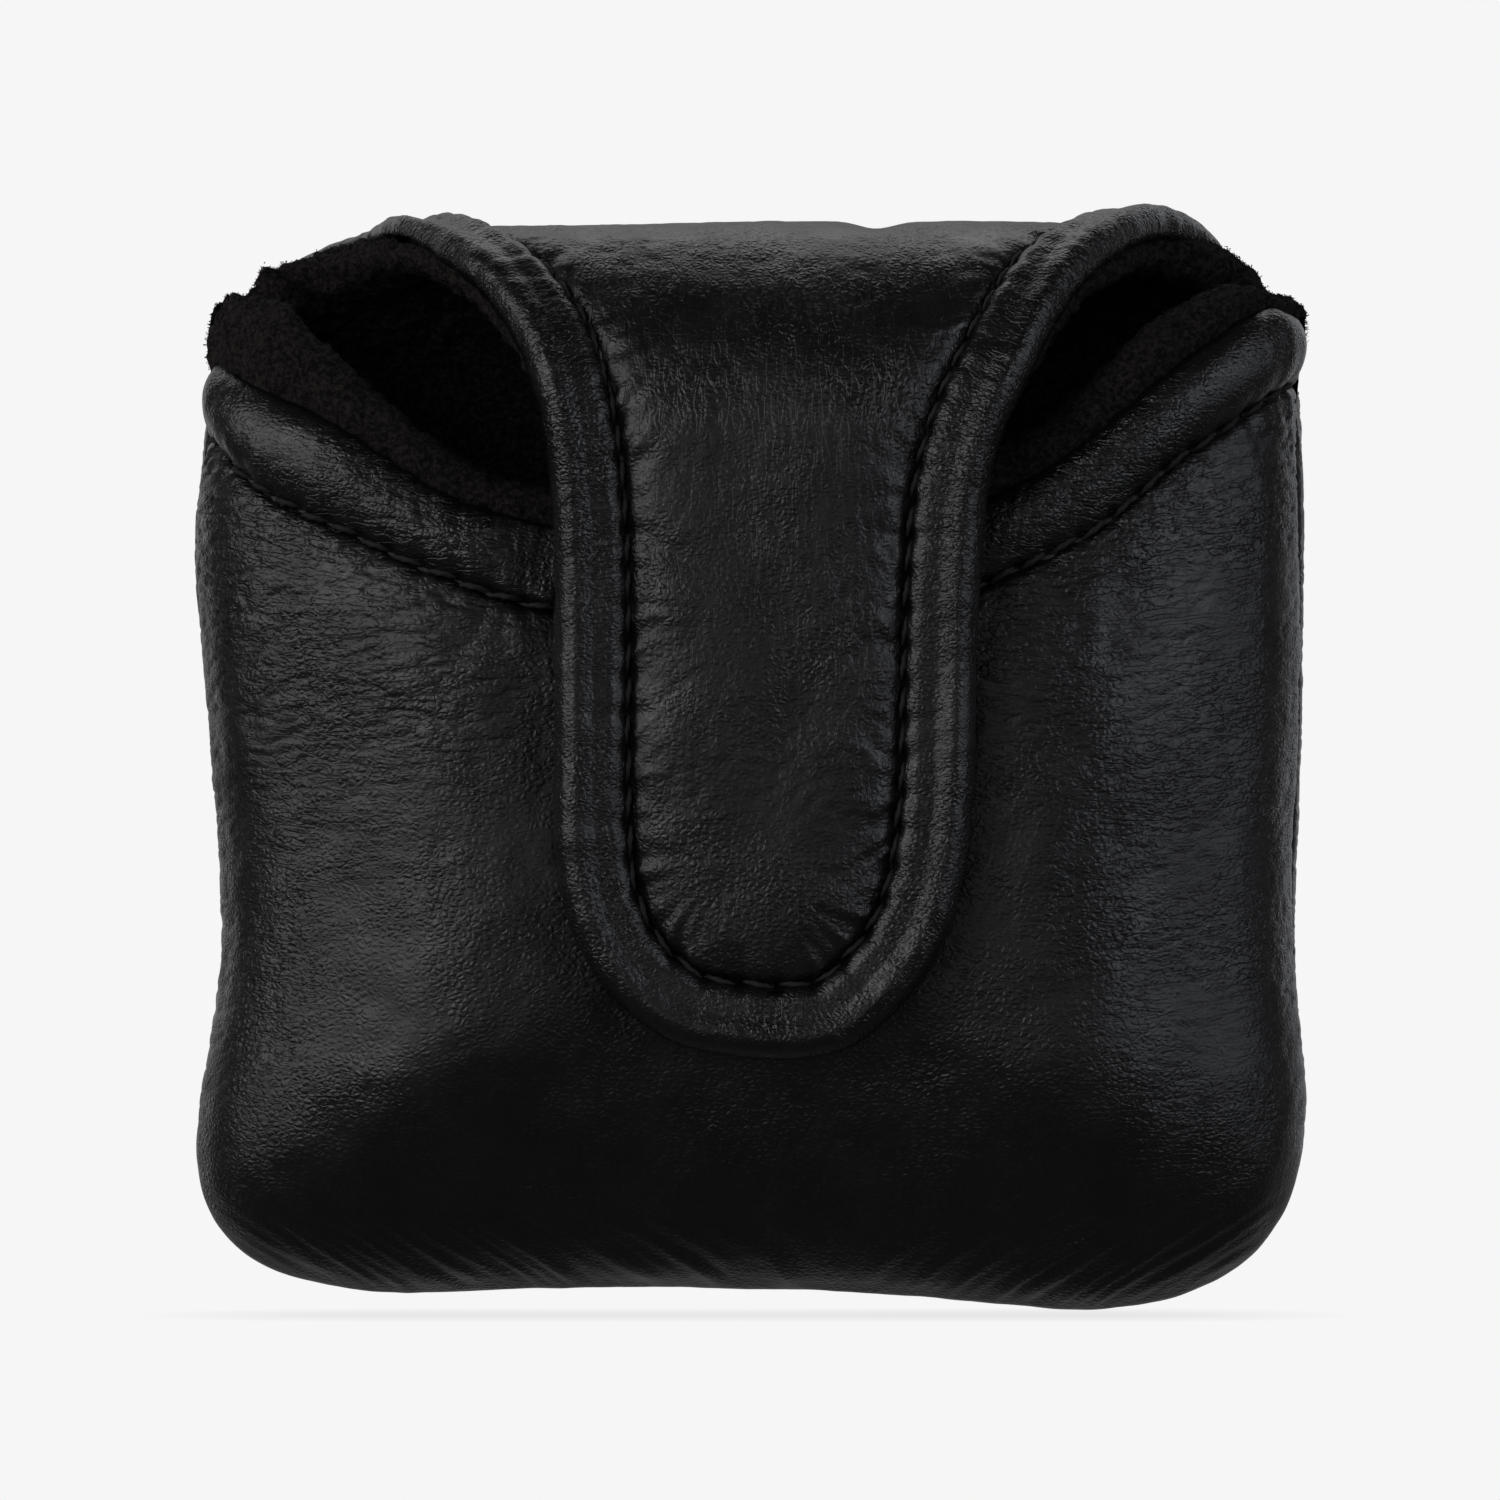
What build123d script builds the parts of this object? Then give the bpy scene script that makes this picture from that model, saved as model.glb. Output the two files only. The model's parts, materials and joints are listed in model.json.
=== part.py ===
from build123d import *
import os
from math import cos, degrees, radians, sin

# Mallet putter head cover: a padded leather pouch whose back panel carries on over
# the mouth as a tongue and comes down the front, where two magnets hold it shut.
# +X runs along the mouth, +Y points out of the back panel, +Z points up to the mouth.
# The origin is under the middle of the base. All sizes are in millimetres.

# ---- overall size ----
WIDTH = 120.0              # side seam to side seam
BODY_DEPTH = 44.0          # front panel to back panel
TOP_Z = 118.5              # top of the tongue's arch
FLAT_HALF = 40.0           # the front and back are flat out to here, then roll to the seam
CORNER_R = 16.0            # lower corners, seen from the front
BASE_ROLL_R = 13.0         # front and back edges of the base, seen from the side

# ---- layers, from the outside in ----
LEATHER = 1.2
FOAM = 1.8
FLEECE = 2.6
WALL = LEATHER + FOAM + FLEECE

# ---- mouth ----
RIM_SIDE_Z = 105.5         # front rim where it meets the side seam
RIM_SLOPE = 0.567          # rise over run of each leg of the V
RIM_VEE_R = 40.0           # round at the bottom of the V
BAND = 10.0                # height of the bound rim band
FLEECE_RISE = 4.5          # lining that stands above the front rim
WING_SIDE_Z = 108.0        # back rim where it meets the side seam
WING_STITCH_Z = 100.0      # back rim's stitch line where it meets the side seam

# ---- tongue ----
TONGUE_HALF = 22.5         # half width of the straight part
TONGUE_BAND = 7.8          # bound edge, from the outline in to its stitch line
TONGUE_TIP_Z = 28.5
TONGUE_TIP_R = 16.0
FLARE = 0.032              # the arch widens by FLARE * degrees ** FLARE_POWER
STITCH_FLARE = 0.028       # the same for its stitch line
FLARE_POWER = 1.4
TONGUE_GAP = 0.8           # air between the tongue and the front panel
HINGE_GAP = 0.3            # air between the segments of the tongue
REAR_HINGE_DEG = 120.0     # where the tongue folds off the back, in degrees from its front

# ---- magnets ----
MAGNET_R = 9.0
MAGNET_T = 1.4
POUCH_SIDE = 24.0
MAGNET_Z = 46.0

# ---- thread ----
STITCH_L = 2.8
STITCH_W = 0.8
STITCH_PROUD = 0.4
STITCH_PITCH = 4.2
SEAM_THREAD_W = 0.6

# ---- worked out from the sizes above ----
ARCH_R = (BODY_DEPTH + TONGUE_GAP + WALL) / 2
ARCH_Y = STITCH_PROUD / 2
ARCH_Z = TOP_Z - ARCH_R
SEAM_Y = ARCH_Y + ARCH_R - BODY_DEPTH / 2
FRONT_Y = SEAM_Y - BODY_DEPTH / 2
TONGUE_Y = ARCH_Y - ARCH_R
REACH = 100.0              # half side of the cutting blocks, larger than the cover


def block(low, high):
    """Box between two corners."""
    size = [b - a for a, b in zip(low, high)]
    middle = [(a + b) / 2 for a, b in zip(low, high)]
    return Pos(*middle) * Box(*size)


def u_path(centre, half, bottom, radius, top):
    """U of two straight sides, a flat bottom and rounded corners."""
    left, right = centre - half, centre + half
    return FilletPolyline((left, top), (left, bottom), (right, bottom), (right, top), radius=radius)


def u_face(centre, half, bottom, radius, top):
    """The U, closed across its top."""
    return make_face(u_path(centre, half, bottom, radius, top) + Line((centre + half, top), (centre - half, top)))


def along_y(face):
    """Prism through the cover from a face drawn as x, z."""
    return extrude(Plane.XZ * face, REACH, both=True)


def along_x(face):
    """Prism across the cover from a face drawn as y, z."""
    return extrude(Plane.YZ * face, REACH, both=True)


def body_fill(inset, arched):
    """The pouch's whole outer form, moved in by inset. Arched, its back rolls over at the top."""
    half_depth = BODY_DEPTH / 2 - inset
    end_rx = WIDTH / 2 - FLAT_HALF - inset
    plan = Rectangle(2 * FLAT_HALF, 2 * half_depth)
    for side in (-1, 1):
        plan += Pos(side * FLAT_HALF, 0) * Ellipse(end_rx, half_depth)
    upright = extrude(Pos(0, SEAM_Y, 0) * plan, TOP_Z + REACH)
    front = u_face(0, WIDTH / 2 - inset, inset, CORNER_R - inset, TOP_Z + REACH / 2)
    if arched:
        side = u_face(SEAM_Y, half_depth, inset, BASE_ROLL_R - inset, ARCH_Z)
        side += Pos(ARCH_Y, ARCH_Z) * Circle(ARCH_R - inset)
    else:
        side = u_face(SEAM_Y, half_depth, inset, BASE_ROLL_R - inset, TOP_Z + REACH / 2)
    base = block((-REACH, -REACH, inset), (REACH, REACH, TOP_Z + REACH / 2))
    return base & upright & along_y(front) & along_x(side)


def body_layer(outer, inner, arched):
    """Skin of the pouch between two depths."""
    return body_fill(outer, arched) - body_fill(inner, arched)


FRONT_HALF = block((-REACH, -REACH, -REACH), (REACH, SEAM_Y, 2 * REACH))
BACK_HALF = block((-REACH, SEAM_Y, -REACH), (REACH, REACH, 2 * REACH))


def rim_path(rise):
    """V of the front rim, moved up by rise."""
    reach_z = RIM_SIDE_Z + RIM_SLOPE * (REACH - WIDTH / 2) + rise
    apex_z = RIM_SIDE_Z - RIM_SLOPE * WIDTH / 2 + rise
    return FilletPolyline((-REACH, reach_z), (0, apex_z), (REACH, reach_z), radius=RIM_VEE_R)


def below_rim(rise):
    """Everything under the front rim's V."""
    reach_z = RIM_SIDE_Z + RIM_SLOPE * (REACH - WIDTH / 2) + rise
    edges = rim_path(rise) + Polyline((REACH, reach_z), (REACH, -REACH), (-REACH, -REACH), (-REACH, reach_z))
    return along_y(make_face(edges))


def tongue_half(fold_deg, start=TONGUE_HALF, flare=FLARE):
    """Half width of the tongue, fold_deg round its arch from the front hinge."""
    return start + flare * fold_deg ** FLARE_POWER


def stitch_half(fold_deg):
    """Half width at the tongue's stitch line."""
    return tongue_half(fold_deg, TONGUE_HALF - TONGUE_BAND, STITCH_FLARE)


def arch_point(fold_deg, radius=ARCH_R):
    """y, z of a point on the arch, fold_deg from its front end."""
    turn = radians(fold_deg)
    return ARCH_Y - radius * cos(turn), ARCH_Z + radius * sin(turn)


REAR_HINGE_Y, REAR_HINGE_Z = arch_point(REAR_HINGE_DEG)
WING_HALF = tongue_half(REAR_HINGE_DEG)
WING_STITCH_HALF = stitch_half(REAR_HINGE_DEG)


def behind_rear_fold():
    """Everything on the pouch's side of the tongue's rear fold."""
    far_y, far_z = arch_point(REAR_HINGE_DEG, 3 * ARCH_R)
    outline = [(ARCH_Y, -REACH), (ARCH_Y, ARCH_Z), (far_y, far_z), (REACH, far_z), (REACH, -REACH)]
    return along_x(make_face(Polyline(*outline, close=True)))


def below_wings(side_z, inner_half, inner_z):
    """Everything under the back rim, which slopes from the tongue's root to the side seams."""
    drop = (inner_z - side_z) / (WIDTH / 2 - inner_half) * (REACH - WIDTH / 2)
    outline = [(-REACH, -REACH), (-REACH, side_z - drop), (-inner_half, inner_z)]
    outline += [(inner_half, inner_z), (REACH, side_z - drop), (REACH, -REACH)]
    return along_y(make_face(Polyline(*outline, close=True)))


def stitch(plane):
    """One thread stitch lying on a plane, along its x."""
    return plane * Pos(0, 0, STITCH_PROUD / 2) * Box(STITCH_L, STITCH_W, STITCH_PROUD)


def stitches_through(path, pitch, reach):
    """Stitch outlines along a path drawn as x, z, as prisms through the cover, out to x of reach."""
    count = int(path.length / pitch)
    prisms = []
    for i in range(count):
        spot = path @ ((i + 0.5) / count)
        lean = path % ((i + 0.5) / count)
        if abs(spot.X) > reach:
            continue
        plane = Plane(origin=(spot.X, 0, spot.Y), x_dir=(lean.X, 0, lean.Y), z_dir=(0, -1, 0))
        prisms.append(plane * Box(STITCH_L, STITCH_W, 2 * REACH))
    return prisms


# ---- seam allowance and thread of the side and bottom seam ----

def seam_allowance(near, far):
    """Edge of a panel, turned in along the side and bottom seam."""
    slab = block((-REACH, near, -REACH), (REACH, far, 2 * REACH))
    return body_layer(LEATHER, LEATHER + FOAM, False) & slab


def seam_stitches():
    """Thread through both allowances, all round the side and bottom seam."""
    depth = LEATHER + FOAM / 2
    path = u_path(0, WIDTH / 2 - depth, depth, CORNER_R - depth, RIM_SIDE_Z - BAND)
    count = int(path.length / STITCH_PITCH)
    threads = []
    for i in range(count):
        spot = path @ ((i + 0.5) / count)
        lean = path % ((i + 0.5) / count)
        plane = Plane(origin=(spot.X, SEAM_Y, spot.Y), x_dir=(lean.X, 0, lean.Y), z_dir=(0, -1, 0))
        threads.append(plane * Box(STITCH_L / 2, SEAM_THREAD_W, 2 * LEATHER))
    return threads


# ---- front of the pouch ----

def front_magnet_parts():
    """Magnet against the leather, with its pouch behind it."""
    outer_y = FRONT_Y + LEATHER
    magnet = Pos(0, outer_y + MAGNET_T / 2, MAGNET_Z) * Rot(90, 0, 0) * Cylinder(MAGNET_R, MAGNET_T)
    side = POUCH_SIDE / 2
    near, far = outer_y + MAGNET_T, outer_y + FOAM
    pouch = block((-side, near, MAGNET_Z - side), (side, far, MAGNET_Z + side))
    return {"front_magnet": magnet, "front_magnet_pouch": pouch}


def front_parts():
    """Leather, bound rim, foam, fleece and thread of the front."""
    outer = body_layer(0, LEATHER, False) & FRONT_HALF
    middle = body_layer(LEATHER, LEATHER + FOAM, False) & FRONT_HALF
    inner = body_layer(LEATHER + FOAM, WALL, False) & FRONT_HALF
    thread = seam_stitches()
    allowance = seam_allowance(SEAM_Y - LEATHER, SEAM_Y) & below_rim(-BAND)
    magnet = front_magnet_parts()

    parts = dict(magnet)
    parts["front_panel"] = (outer & below_rim(-BAND)) + allowance - thread
    edge = middle & (below_rim(0) - below_rim(-LEATHER))
    parts["front_rim_binding"] = (outer & (below_rim(0) - below_rim(-BAND))) + edge
    foam = (middle & below_rim(-LEATHER)) - allowance
    parts["front_foam"] = foam - magnet["front_magnet"] - magnet["front_magnet_pouch"] - thread
    parts["front_lining"] = inner & below_rim(FLEECE_RISE)

    skin = body_layer(-STITCH_PROUD, 0, False) & FRONT_HALF
    rim = stitches_through(rim_path(-BAND), STITCH_PITCH, WIDTH / 2 - STITCH_L)
    parts["front_rim_stitches"] = [piece & skin for piece in rim]
    return parts


# ---- back of the pouch ----

def back_parts():
    """Leather, bound wings, foam, fleece and thread of the back."""
    kept = BACK_HALF & behind_rear_fold()
    rim = below_wings(WING_SIDE_Z, WING_HALF, REAR_HINGE_Z)
    stitch_line = below_wings(WING_STITCH_Z, WING_STITCH_HALF, REAR_HINGE_Z)
    under_edge = below_wings(WING_SIDE_Z - LEATHER, WING_HALF - LEATHER, REAR_HINGE_Z)
    outer = body_layer(0, LEATHER, True) & kept
    middle = body_layer(LEATHER, LEATHER + FOAM, True) & kept
    inner = body_layer(LEATHER + FOAM, WALL, True) & kept
    thread = seam_stitches()
    allowance = seam_allowance(SEAM_Y, SEAM_Y + LEATHER) & below_rim(-BAND)

    parts = {}
    parts["back_panel"] = (outer & stitch_line) + allowance - thread
    edge = (middle + inner) & (rim - under_edge)
    parts["back_rim_binding"] = (outer & (rim - stitch_line)) + edge
    parts["back_foam"] = (middle & under_edge) - allowance - thread
    parts["back_lining"] = inner & under_edge

    skin = body_layer(-STITCH_PROUD, 0, True) & kept
    threads = []
    for side in (-1, 1):
        line = Line((side * WING_STITCH_HALF, REAR_HINGE_Z), (side * WIDTH / 2, WING_STITCH_Z))
        rim_threads = stitches_through(line, STITCH_PITCH, WIDTH / 2 - STITCH_L)
        threads += [piece & skin for piece in rim_threads]
    parts["back_rim_stitches"] = threads
    return parts


# ---- bridge: the tongue's arch over the mouth ----

def bridge_prism(half_at, inset=0.0):
    """Prism through the arch whose half width follows half_at round the fold."""
    folds = range(0, int(REAR_HINGE_DEG) + 21, 20)
    right = [(half_at(fold) - inset, arch_point(fold)[0]) for fold in folds]
    left = [(-x, y) for x, y in right]
    front_end = Line(left[0], right[0])
    rear_end = Line(right[-1], left[-1])
    outline = front_end + Spline(*right) + rear_end + Spline(*left)
    return extrude(make_face(outline), TOP_Z + REACH)


def arch_layer(outer, inner):
    """Ring of the arch between two depths, from the front hinge to the rear one."""
    ring = Circle(ARCH_R - outer) - Circle(ARCH_R - inner)
    tangent = radians(REAR_HINGE_DEG)
    gap_y, gap_z = -HINGE_GAP * sin(tangent), HINGE_GAP * cos(tangent)
    far_y, far_z = arch_point(REAR_HINGE_DEG, 3 * ARCH_R)
    start = (ARCH_Y + gap_y, ARCH_Z - gap_z)
    wedge = [start, (far_y + gap_y, far_z - gap_z), (-REACH, far_z), (-REACH, ARCH_Z), (ARCH_Y - 1, ARCH_Z)]
    return along_x(Pos(ARCH_Y, ARCH_Z) * ring & make_face(Polyline(*wedge, close=True)))


def bridge_stitches():
    """Thread along both stitch lines of the arch."""
    threads = []
    step = degrees(STITCH_PITCH / ARCH_R)
    first = 8.0
    count = int((REAR_HINGE_DEG - 2 * first) / step) + 1
    for i in range(count):
        fold = first + i * step
        y, z = arch_point(fold)
        turn = radians(fold)
        widening = degrees(stitch_half(fold + 0.5) - stitch_half(fold - 0.5))
        for side in (-1, 1):
            along = (side * widening, ARCH_R * sin(turn), ARCH_R * cos(turn))
            out = (0, -cos(turn), sin(turn))
            threads.append(stitch(Plane(origin=(side * stitch_half(fold), y, z), x_dir=along, z_dir=out)))
    return threads


def bridge_parts():
    """Leather, bound edges, foam, fleece and thread of the arch."""
    outer = arch_layer(0, LEATHER)
    middle = arch_layer(LEATHER, LEATHER + FOAM)
    inner = arch_layer(LEATHER + FOAM, WALL)
    whole = bridge_prism(tongue_half)
    core = bridge_prism(tongue_half, LEATHER)
    centre = bridge_prism(stitch_half)
    parts = {}
    parts["bridge_leather"] = outer & centre
    parts["bridge_binding"] = (outer & (whole - centre)) + (arch_layer(LEATHER, WALL) & (whole - core))
    parts["bridge_foam"] = middle & core
    parts["bridge_lining"] = inner & core
    parts["bridge_stitches"] = bridge_stitches()
    return parts


# ---- flap: the tongue down the front ----

def flap_layer(outer, inner, edge_inset):
    """Slab of the flap between two depths, inside its outline by edge_inset."""
    half = TONGUE_HALF - edge_inset
    outline = u_face(0, half, TONGUE_TIP_Z + edge_inset, TONGUE_TIP_R - edge_inset, ARCH_Z - HINGE_GAP)
    near, far = TONGUE_Y + outer, TONGUE_Y + inner
    slab = block((-REACH, near, 0), (REACH, far, TOP_Z))
    return along_y(outline) & slab


def flap_magnet_parts():
    """Magnet against the fleece, with its pouch in front of it."""
    inner_y = TONGUE_Y + LEATHER + FOAM
    magnet = Pos(0, inner_y - MAGNET_T / 2, MAGNET_Z) * Rot(90, 0, 0) * Cylinder(MAGNET_R, MAGNET_T)
    side = POUCH_SIDE / 2
    near, far = inner_y - FOAM, inner_y - MAGNET_T
    pouch = block((-side, near, MAGNET_Z - side), (side, far, MAGNET_Z + side))
    return {"flap_magnet": magnet, "flap_magnet_pouch": pouch}


def flap_stitches():
    """Thread round the flap's stitch line."""
    radius = TONGUE_TIP_R - TONGUE_BAND
    half, bottom = TONGUE_HALF - TONGUE_BAND, TONGUE_TIP_Z + TONGUE_BAND
    path = u_path(0, half, bottom, radius, ARCH_Z - STITCH_PITCH)
    count = int(path.length / STITCH_PITCH)
    threads = []
    for i in range(count + 1):
        spot = path @ (i / count)
        lean = path % (i / count)
        plane = Plane(origin=(spot.X, TONGUE_Y, spot.Y), x_dir=(lean.X, 0, lean.Y), z_dir=(0, -1, 0))
        threads.append(stitch(plane))
    return threads


def flap_parts():
    """Leather, bound edge, foam, fleece, magnet and thread of the flap."""
    parts = flap_magnet_parts()
    foam = flap_layer(LEATHER, LEATHER + FOAM, LEATHER)
    parts["flap_foam"] = foam - parts["flap_magnet"] - parts["flap_magnet_pouch"]
    parts["flap_leather"] = flap_layer(0, LEATHER, TONGUE_BAND)
    band = flap_layer(0, LEATHER, 0) - flap_layer(0, LEATHER, TONGUE_BAND)
    edge = flap_layer(LEATHER, WALL, 0) - flap_layer(LEATHER, WALL, LEATHER)
    parts["flap_binding"] = band + edge
    parts["flap_lining"] = flap_layer(LEATHER + FOAM, WALL, LEATHER)
    parts["flap_stitches"] = flap_stitches()
    return parts


def solids_of(shape):
    """Every solid in a shape or a list of shapes."""
    if isinstance(shape, list):
        return [solid for item in shape if item for solid in item.solids()]
    return shape.solids()


def main():
    parts = {**front_parts(), **back_parts(), **bridge_parts(), **flap_parts()}
    parts["side_seam_thread"] = seam_stitches()
    os.makedirs("parts", exist_ok=True)
    for name, shape in parts.items():
        export_step(Compound(children=list(solids_of(shape))), f"parts/{name}.step")
    print(f"seam plane y {SEAM_Y:.2f}, rear hinge y {REAR_HINGE_Y:.2f} z {REAR_HINGE_Z:.2f}")
    print(f"front hinge y {TONGUE_Y:.2f} z {ARCH_Z:.2f}, half width at rear hinge {WING_HALF:.2f}")


if __name__ == "__main__":
    main()
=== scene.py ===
import json
import math

import bpy
import numpy as np
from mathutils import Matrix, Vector


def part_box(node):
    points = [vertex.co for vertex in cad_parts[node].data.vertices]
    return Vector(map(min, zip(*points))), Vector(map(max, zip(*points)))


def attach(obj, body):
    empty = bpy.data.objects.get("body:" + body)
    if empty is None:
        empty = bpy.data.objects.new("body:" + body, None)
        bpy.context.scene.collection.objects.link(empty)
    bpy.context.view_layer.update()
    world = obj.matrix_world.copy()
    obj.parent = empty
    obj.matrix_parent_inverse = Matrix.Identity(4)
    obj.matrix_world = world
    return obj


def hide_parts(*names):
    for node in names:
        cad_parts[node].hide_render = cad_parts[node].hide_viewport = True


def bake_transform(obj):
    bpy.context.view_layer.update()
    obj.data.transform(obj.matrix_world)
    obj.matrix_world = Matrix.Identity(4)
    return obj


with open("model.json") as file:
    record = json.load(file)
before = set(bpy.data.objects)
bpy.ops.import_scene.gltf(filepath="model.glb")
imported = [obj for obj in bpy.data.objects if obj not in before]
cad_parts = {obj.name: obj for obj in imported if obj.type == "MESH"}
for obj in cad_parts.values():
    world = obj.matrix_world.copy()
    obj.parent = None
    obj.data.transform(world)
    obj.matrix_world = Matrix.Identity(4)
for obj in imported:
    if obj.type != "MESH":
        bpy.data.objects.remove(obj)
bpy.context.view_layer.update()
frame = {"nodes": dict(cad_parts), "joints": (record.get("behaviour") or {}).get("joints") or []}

# Looks of a mallet putter head cover: a padded leather pouch, open along the top, whose back
# runs over the top as a tongue and closes on the front with hidden magnets.
# Shapes are worked out in millimetres in the frame's axes: +X along the mouth, +Y out of the
# back, +Z up. Each soft piece is a grid of points on the cover's own surface, given relief
# along its normals, and made into a mesh in metres.

MM = 0.001


# ---- sizes from the frame

def box_mm(node):
    """Lowest and highest corner of a CAD node, in millimetres."""
    low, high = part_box(node)
    return np.array(low) / MM, np.array(high) / MM


def joint_mm(name):
    """Axis point of a joint, in millimetres."""
    found = next(j for j in frame["joints"] if j["name"] == name)
    return np.array(found["pos_m"]) / MM


panel_low, panel_high = box_mm("front_panel")
FOLD = joint_mm("flap_fold")
SEAM_Y = panel_high[1]
HALF = panel_high[0]
DEPTH = SEAM_Y - panel_low[1]
TOP_Z = box_mm("bridge_leather")[1][2]
ARCH_Z = FOLD[2]
ARCH_R = TOP_Z - ARCH_Z
ARCH_Y = FOLD[1] + ARCH_R
QUARTER = ARCH_R * math.pi / 2

# shape of the pouch
SIDE_POWER = 2.8            # roll of the faces into the side seams
BASE_POWER = 2.1            # roll of the faces into the bottom seam
CORNER_POWER = 6.1          # squareness of the lower corners
POLE_Z = 47.0               # height over which the faces roll into the bottom seam
CHEEK = 2.6                 # how far the pad swells either side of the middle
BAND = 7.8                  # bound edge, from the rim in to its stitch line
TUCK = 0.5                  # how far a panel runs on under the band
WALL = 5.9                  # depth of the lining's face under the leather
PINCH = 0.9                 # what the layers are pressed to in a seam
STITCH_PITCH = 3.9
CELL = 0.42                 # spacing of the leather meshes
WELD = 0.02                 # points nearer than this are one point
FAR = 60                    # so far from a stitch line that it no longer shows
FAN_DROP = 86               # offset of the creases on the back's lower part
HIDDEN_PILE = 0.3           # nap of the lining deep inside

# x of the side seams at heights up the cover, and z of the bottom seam across it
LEFT_SIDE = [(0, -60.6), (17, -60.5), (30, -57.8), (44, -56.8), (56, -57.7), (70, -59), (84, -60),
             (94, -58.9), (103, -58), (112, -57.3)]
RIGHT_SIDE = [(0, 60), (22, 59.9), (35, 58.8), (46, 58.3), (60, 58.8), (82, 59.1), (95, 59), (104, 59.4),
              (112, 59)]
BOTTOM = [(-62, 2), (-38, 1.9), (-22, 2.8), (-4, 2.9), (12, 2.4), (26, 1.2), (37, 0.1), (45, 0.1),
          (62, 2)]

# front rim, (x, z): the stitch line, the leather's turned edge, and the fleece's height above it
RIM_STITCH = [(-60, 96.2), (-59, 95.2), (-56, 91.4), (-52.6, 88.7), (-47.8, 86.3), (-43, 84.2),
              (-36.8, 81.2), (-32, 79.4), (-27, 77.6), (-21.8, 76.2), (-10, 74.4), (2, 73.8), (14, 75.2),
              (22, 77.6), (26.8, 79.6), (33.8, 82.8), (37.1, 84.6), (42.6, 89), (45.6, 91.6),
              (50.5, 94.8), (56.5, 98.8), (60, 101)]
RIM_EDGE = [(-60, 103.4), (-58.3, 102.8), (-56.6, 101.5), (-53.2, 99.8), (-49.4, 98.3), (-44.7, 95.8),
            (-38.3, 91.8), (-33.6, 89), (-28.8, 87), (-23, 85.5), (-10, 83.2), (2, 82.6), (14, 84.2),
            (24, 87.6), (30.1, 90.2), (36.5, 94.5), (42.6, 99.2), (47.4, 103.1), (50.5, 105.3),
            (53.8, 107.4), (57.1, 108.4), (60, 107.4)]
RIM_FLEECE = [(-60, 6.4), (-57, 7.8), (-54, 8.8), (-50, 7), (-46.6, 6.2), (-41.5, 5.1), (-36, 4.3),
              (-27, 3.5), (-15, 3.4), (15, 3.6), (26, 4.4), (34, 5.2), (40, 6), (45, 5.8), (50, 4.2),
              (54, 3.4), (57, 2.4), (60, 2.2)]

# outer edge of the back's wings and of the tongue, (x, z), from the left seam over the top
# and down to the tip, then the same on the right
WING_LEFT = [(-56.4, 108.9), (-53.6, 111), (-49.6, 114.2), (-45.6, 116.2), (-42.6, 117.3)]
EDGE_LEFT = [(-37.8, 117.9), (-33.6, 115.3), (-30.2, 112.3), (-27, 108.2), (-24.6, 104), (-22.7, 97.8),
             (-21.4, 89), (-20.9, 78), (-20.9, 60), (-20.8, 52), (-19.9, 44.5), (-17.6, 38.4),
             (-13.6, 33.2), (-8, 29.4), (-2.5, 28.2)]
EDGE_RIGHT = [(5.5, 27.9), (10.5, 29), (15.6, 33), (20, 38.8), (22.6, 46), (23.7, 54), (24.2, 66),
              (24.7, 81), (25.3, 88), (27.2, 95), (30.2, 101.8), (33.2, 108), (36.6, 113), (40.6, 116.5)]
WING_RIGHT = [(50.4, 117.2), (52.2, 115), (54, 112.3), (56.2, 110.3), (58.2, 108.8)]
WING_SEAM_Z = 106.8
APEX_LEFT, APEX_RIGHT = -40.2, 45.6


# ---- small maths

def smooth(a, b, x):
    """0 below a, 1 above b, smooth between."""
    t = np.clip((np.asarray(x, float) - a) / (b - a), 0, 1)
    return t * t * (3 - 2 * t)


def bell(x, centre, width):
    """Bell of height 1."""
    return np.exp(-((np.asarray(x, float) - centre) / width) ** 2)


def pack(*parts):
    """Numbers or arrays side by side along a last axis, as points or as quads."""
    return np.stack(np.broadcast_arrays(*parts), -1)


def unit(v):
    return v / np.maximum(np.linalg.norm(v, axis=-1, keepdims=True), 1e-9)


def curve(points, at):
    """Smooth curve through a few points, as a function of their first number."""
    x, y = np.array(points, float).T
    slope = np.gradient(y, x)
    at = np.clip(np.asarray(at, float), x[0], x[-1])
    i = np.clip(np.searchsorted(x, at) - 1, 0, len(x) - 2)
    h = x[i + 1] - x[i]
    t = (at - x[i]) / h
    rise = y[i] * (2 * t**3 - 3 * t**2 + 1) + y[i + 1] * (3 * t**2 - 2 * t**3)
    return rise + h * (slope[i] * (t**3 - 2 * t**2 + t) + slope[i + 1] * (t**3 - t**2))


def path_through(points, step):
    """Smooth path through given points, at even steps."""
    pts = np.array(points, float)
    chord = run_along(pts)
    fine = np.linspace(0, chord[-1], 6000)
    line = np.stack([curve(np.c_[chord, column], fine) for column in pts.T], -1)
    run = run_along(line)
    return sampled(line, run, np.linspace(0, run[-1], int(run[-1] / step) + 1))


def run_along(line):
    """Length along a polyline at each of its points."""
    return np.r_[0, np.cumsum(np.linalg.norm(np.diff(line, axis=0), axis=1))]


def sampled(line, run, at):
    """A polyline's points, or other vectors given along it, at chosen runs."""
    return np.stack([np.interp(at, run, column) for column in line.T], -1)


def softened(line, reach):
    """A path with its small kinks averaged out; its ends stay."""
    kernel = np.exp(-np.linspace(-2, 2, 2 * reach + 1) ** 2)
    kernel /= kernel.sum()
    before = 2 * line[0] - line[reach:0:-1]
    after = 2 * line[-1] - line[-2:-reach - 2:-1]
    padded = np.concatenate([before, line, after])
    return np.stack([np.convolve(column, kernel, "valid") for column in padded.T], -1)


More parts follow.
